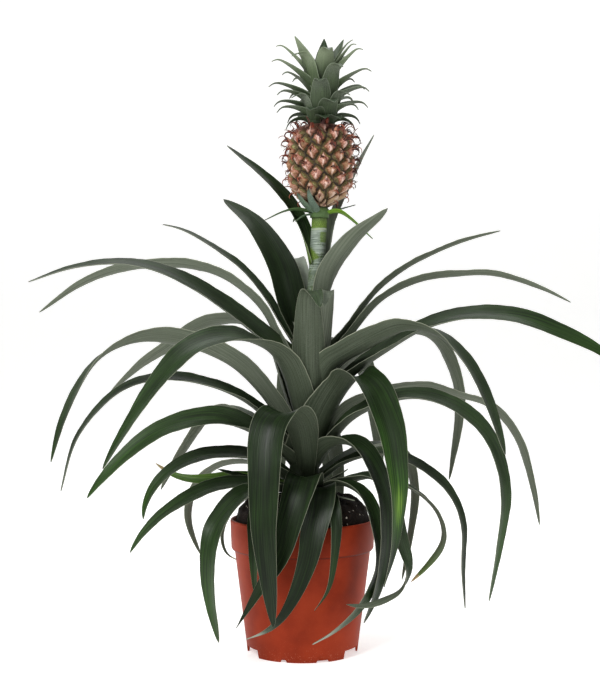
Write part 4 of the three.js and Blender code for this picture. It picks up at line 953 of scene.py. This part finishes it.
def eye_axes(counts, raised):
    """For each eye its middle, raised from the skin, the unit directions sideways, up the skin and out of it,
    and its share of the fruit's height."""
    share, turn = eye_places(counts)
    slope = (read(FRUIT_PROFILE, share + 0.03) - read(FRUIT_PROFILE, share - 0.03)) / (0.06 * FRUIT_HEIGHT)
    z = FRUIT_FOOT + share * FRUIT_HEIGHT
    middle = turned(read(FRUIT_PROFILE, share) + raised, turn, z, read(STEM_LEAN, z))
    out, up = unit(turned(1, turn, -slope)), unit(turned(slope, turn, 1))
    return (middle, np.cross(up, out), up, out), share[:, None]


def curled(axes, start, length, headings, steps, across, lift):
    """Points along flat curling lines that leave their eyes, one row of lines for each eye.

    The heading turns from the first to the last one as t^1.3, and the line's place up the skin and out of it
    is the running sum of short steps along the heading. The points lie beside it, across and off it by lift.
    """
    t = np.linspace(0, 1, steps)[None, :]
    first, last = headings
    heading = np.radians(first + (last - first) * t**1.3)[..., None]
    stride = (length / (steps - 1))[..., None]
    rise = start[..., None] + np.cumsum(np.cos(heading) * stride, 1) - lift * np.sin(heading)
    proud = np.cumsum(np.sin(heading) * stride, 1) + lift * np.cos(heading)
    middle, sideways, up, out = (axis[:, None, None] for axis in axes)
    return middle + sideways * across[..., None] + up * rise[..., None] + out * proud[..., None]


def make_eye_tips(skin):
    """The withered end of each eye's bract: a thin channelled strip that leaves the middle of the eye and
    curls over, longer towards the top of the fruit."""
    counts = np.arange(EYE_COUNT)
    steps, columns = 14, 5
    axes, share = eye_axes(counts, -0.8)
    chance, other = hash_of(counts, 2)[:, None], hash_of(counts, 9)[:, None]
    length = read([(0, 7), (0.3, 8), (0.55, 9), (0.75, 13), (1, 16)], share) * (0.65 + 0.6 * chance)
    t, s = np.linspace(0, 1, steps)[:, None], np.linspace(-1, 1, columns)
    half = (0.8 + 0.4 * other)[..., None] * np.interp(t, [0, 0.2, 0.5, 0.8, 1], [1.7, 1.25, 0.75, 0.45, 0.15])
    keel = 0.5 * half * (1 - np.abs(s))
    across = (chance[..., None] - 0.5) * 9 * t**1.5 + half * s
    headings = 30 + 35 * other, 50 + 190 * chance
    start = 0.6 - 1.5 * other
    faces = [curled(axes, start, length, headings, steps, across, keel + by) for by in (0.2, -0.2)]
    paper = stacked(t, np.abs(s), chance[..., None])
    points, paper = np.stack(faces, 1).reshape(-1, 3), np.stack([paper, paper], 1).reshape(-1, 3)
    quads = copies(blade_quads(steps, columns), EYE_COUNT, 2 * steps * columns)
    make_piece("eye_tips", points, quads, [], {"paper": paper}, skin, "fruit_skin")


def make_dry_curls(skin):
    """Thin withered tips that curl out between the eyes, most of them near the top."""
    counts = np.arange(CURL_COUNT)
    steps, sides = 14, 5
    axes, share = eye_axes(np.floor(hash_of(counts, 3) ** 0.45 * (EYE_COUNT + 5)), -1.2)
    chance, other = hash_of(counts, 4)[:, None], hash_of(counts, 5)[:, None]
    length = 4.5 + 9 * chance * ease(0.1, 0.9, share) + 2.5 * other
    t, turn = np.linspace(0, 1, steps)[None, :], full_turn(sides)
    drift = (other - 0.5) * 7 * t + (chance - 0.5) * 5
    radius = ((0.65 * (1 - t) ** 0.6 + 0.14) * (0.7 + 0.6 * other))[..., None]
    headings = 20 + 50 * other, 110 + 190 * chance
    across, lift = drift[..., None] + radius * np.cos(turn), radius * 0.6 * np.sin(turn)
    rings = curled(axes, 1.5 - 2 * other, length, headings, steps, across, lift)
    paper = stacked(0.8 + 0.2 * t[..., None], 0.5, chance[..., None] + 0 * turn)
    points, paper = (
        np.concatenate([grid.reshape(CURL_COUNT, -1, 3), grid[:, [0, -1]].mean(2)], 1).reshape(-1, 3)
        for grid in (rings, paper)
    )
    each = steps * sides + 2
    quads, fans = (copies(corners[:, ::-1], CURL_COUNT, each) for corners in closed_rings(steps, sides))
    make_piece("dry_curls", points, quads, fans, {"paper": paper}, skin, "fruit_skin")


def make_soil(skin):
    """The soil: a filled form turned about the pot's middle.

    From 112 to 122 mm up its top is raised more and more, by lumps that are crossed slow sine waves, a heap
    2 exp(-d^2 / 500) at the distance d from (32, 22), and crumbs that are two finer wobbles.
    """
    profile = numbers(
        "24 2.4, 26 10.4, 45.9 10.4, 58.6 90.2, 60.7 94.6, 61.9 112, 59.8 119.5, 57.6 129, 51 136, 34 138, "
        "18 139, 2 139"
    )
    steps = travelled(profile)
    even = np.concatenate([steps[:5], np.linspace(steps[5], steps[-1], 60)])
    radius, z, _ = read_rows(even, steps, profile).T
    rings = turned(radius[:, None], full_turn(200), z[:, None])
    x, y, z = np.moveaxis(rings, -1, 0)
    lumps = np.sin(x * 0.31 + 1) * np.cos(y * 0.27 - 0.6) + 0.6 * np.sin(x * 0.13 - y * 0.19)
    heap = 2 * np.exp(-((x - 32) ** 2 + (y - 22) ** 2) / 500)
    crumbs = 0.8 * wobble(x * 1.1, y * 1.1, 5) + 0.5 * wobble(x * 2.3, y * 2.3, 6)
    z += ease(112, 122, z) * (1.1 * lumps + heap + crumbs - 0.8)
    make_piece("potting_mix", *closed_skin(rings), {}, skin, "soil", "soil")


def make_pot(skin):
    """The pot: a turned wall with rounded rims. Its foot is lifted at each notch, which is written as its
    start and end in degrees and its height, and the lifted edge keeps to the straight slope of the wall."""
    profile = numbers(
        "24 0, 24.6 4, 25 8, 36 8, 47.3 8, 47.7 7.4, 47.7 0.4, 48.1 0, 49.1 0, 49.5 0.4, 50.4 7.2, 51.9 19, "
        "55.8 49, 59.7 80, 61.1 91.2, 61.3 92, 62.6 92, 63.2 92.3, 64.1 93.8, 64.6 106, 65 117.4, "
        "64.8 118.5, 64.2 119, 62.8 119, 62.4 118.4, 61.4 94, 59.4 90, 53 51, 46.5 10.6, 46 10, 26.6 10, "
        "25.2 6, 24.6 2, 24.2 1.6, 2 1.6, 2 0"
    )
    notches = numbers("4 39 7, 141 176 7, 184 219 7, 317 356 7, 247 254 2.2, 284 298 1.8, 72 82 2")
    turn = full_turn(360)
    degrees = np.degrees(turn)
    lifted = np.zeros_like(turn)
    for start, end, high in notches:
        lifted = np.maximum(lifted, high * ((degrees > start) & (degrees < end)))
    radius, z = profile[:, :1], profile[:, 1:2]
    skirt = (radius > SKIRT_INNER) & (radius < SKIRT_OUTER) & (z < SKIRT_TOP)
    z = np.where(skirt, np.maximum(z, lifted), z)
    slope = BODY_FOOT_RADIUS + (BODY_TOP_RADIUS - BODY_FOOT_RADIUS) * z / RIM_FOOT
    radius = np.where(skirt & (radius > SKIRT_MIDDLE), slope, radius)
    make_piece("pot_shell", *looped_skin(turned(radius, turn, z)), {}, skin, "pot_plastic", "pot")


def make_stage():
    """The pale floor, which sweeps up behind the plant in a quarter circle."""
    bend, radius = np.linspace(0, np.pi / 2, 24), 1.2
    y = np.concatenate([[-6], 2.5 + radius * np.sin(bend), [3.7]])[:, None]
    z = np.concatenate([[0], radius - radius * np.cos(bend), [5]])[:, None]
    rows = stacked([-6, 6], y, z)
    mesh = bpy.data.meshes.new("sweep")
    mesh.from_pydata(rows.reshape(-1, 3).tolist(), [], grid_quads(len(rows), 2).tolist())
    mesh.polygons.foreach_set("use_smooth", np.full(len(mesh.polygons), True))
    f = Finish("sweep_paper", Emission_Color=(1, 1, 1, 1), Emission_Strength=PAPER_GLOW)
    mesh.materials.append(f.done("f4f4f2", 0.9))
    add("sweep", mesh)


def make_lamp(name, place, toward, size, power):
    """A soft square lamp at a place in metres, turned to face another place."""
    lamp = bpy.data.lights.new(name, "AREA")
    lamp.shape, lamp.size, lamp.energy = "SQUARE", size, power
    thing = add(name, lamp)
    x, y, z = np.subtract(toward, place)
    thing.location = place
    thing.rotation_euler = (np.arctan2(np.hypot(x, y), -z), 0, np.arctan2(y, x) - np.pi / 2)


def make_camera():
    """A level camera 1.2 metres in front of the plant."""
    camera = bpy.data.cameras.new("camera")
    camera.sensor_width = SENSOR
    camera.lens = SENSOR * FOCAL_PIXELS / IMAGE_HEIGHT
    camera.shift_x, camera.shift_y = (shift / IMAGE_HEIGHT for shift in CAMERA_SHIFT)
    thing = add("camera", camera)
    thing.location = CAMERA_PLACE
    thing.rotation_euler = (np.pi / 2, 0, 0)
    bpy.context.scene.camera = thing


def light_the_room():
    """A pale even room and three soft lamps, the strongest high in front on the left."""
    world = bpy.data.worlds.new("room")
    world.use_nodes = True
    room = world.node_tree.nodes["Background"].inputs
    room["Color"].default_value = (1, 1, 1, 1)
    room["Strength"].default_value = ROOM_GLOW
    bpy.context.scene.world = world
    bpy.context.scene.view_settings.view_transform = "Standard"
    make_lamp("key", (-0.9, -1.3, 1.5), PLANT_MIDDLE, size=0.8, power=34)
    make_lamp("fill", (1.3, -1.1, 0.8), PLANT_MIDDLE, size=1, power=7)
    make_lamp("top", (0.1, 0.4, 1.7), (0, 0, 0.3), size=1.2, power=14)


make_camera()
light_the_room()
make_stage()

leaf_skin = leaf_finish()
for number, (leaf_name, (*leaf, more)) in enumerate(LEAVES.items()):
    make_leaf(leaf_name, number, leaf_skin, *leaf, **more)
make_crown(crown_finish())
make_bracts(bract_finish())
make_stem(stalk_finish())
make_rind(rind_finish())
bract_paper = paper_finish()
make_eye_tips(bract_paper)
make_dry_curls(bract_paper)
make_soil(soil_finish())
make_pot(pot_finish())
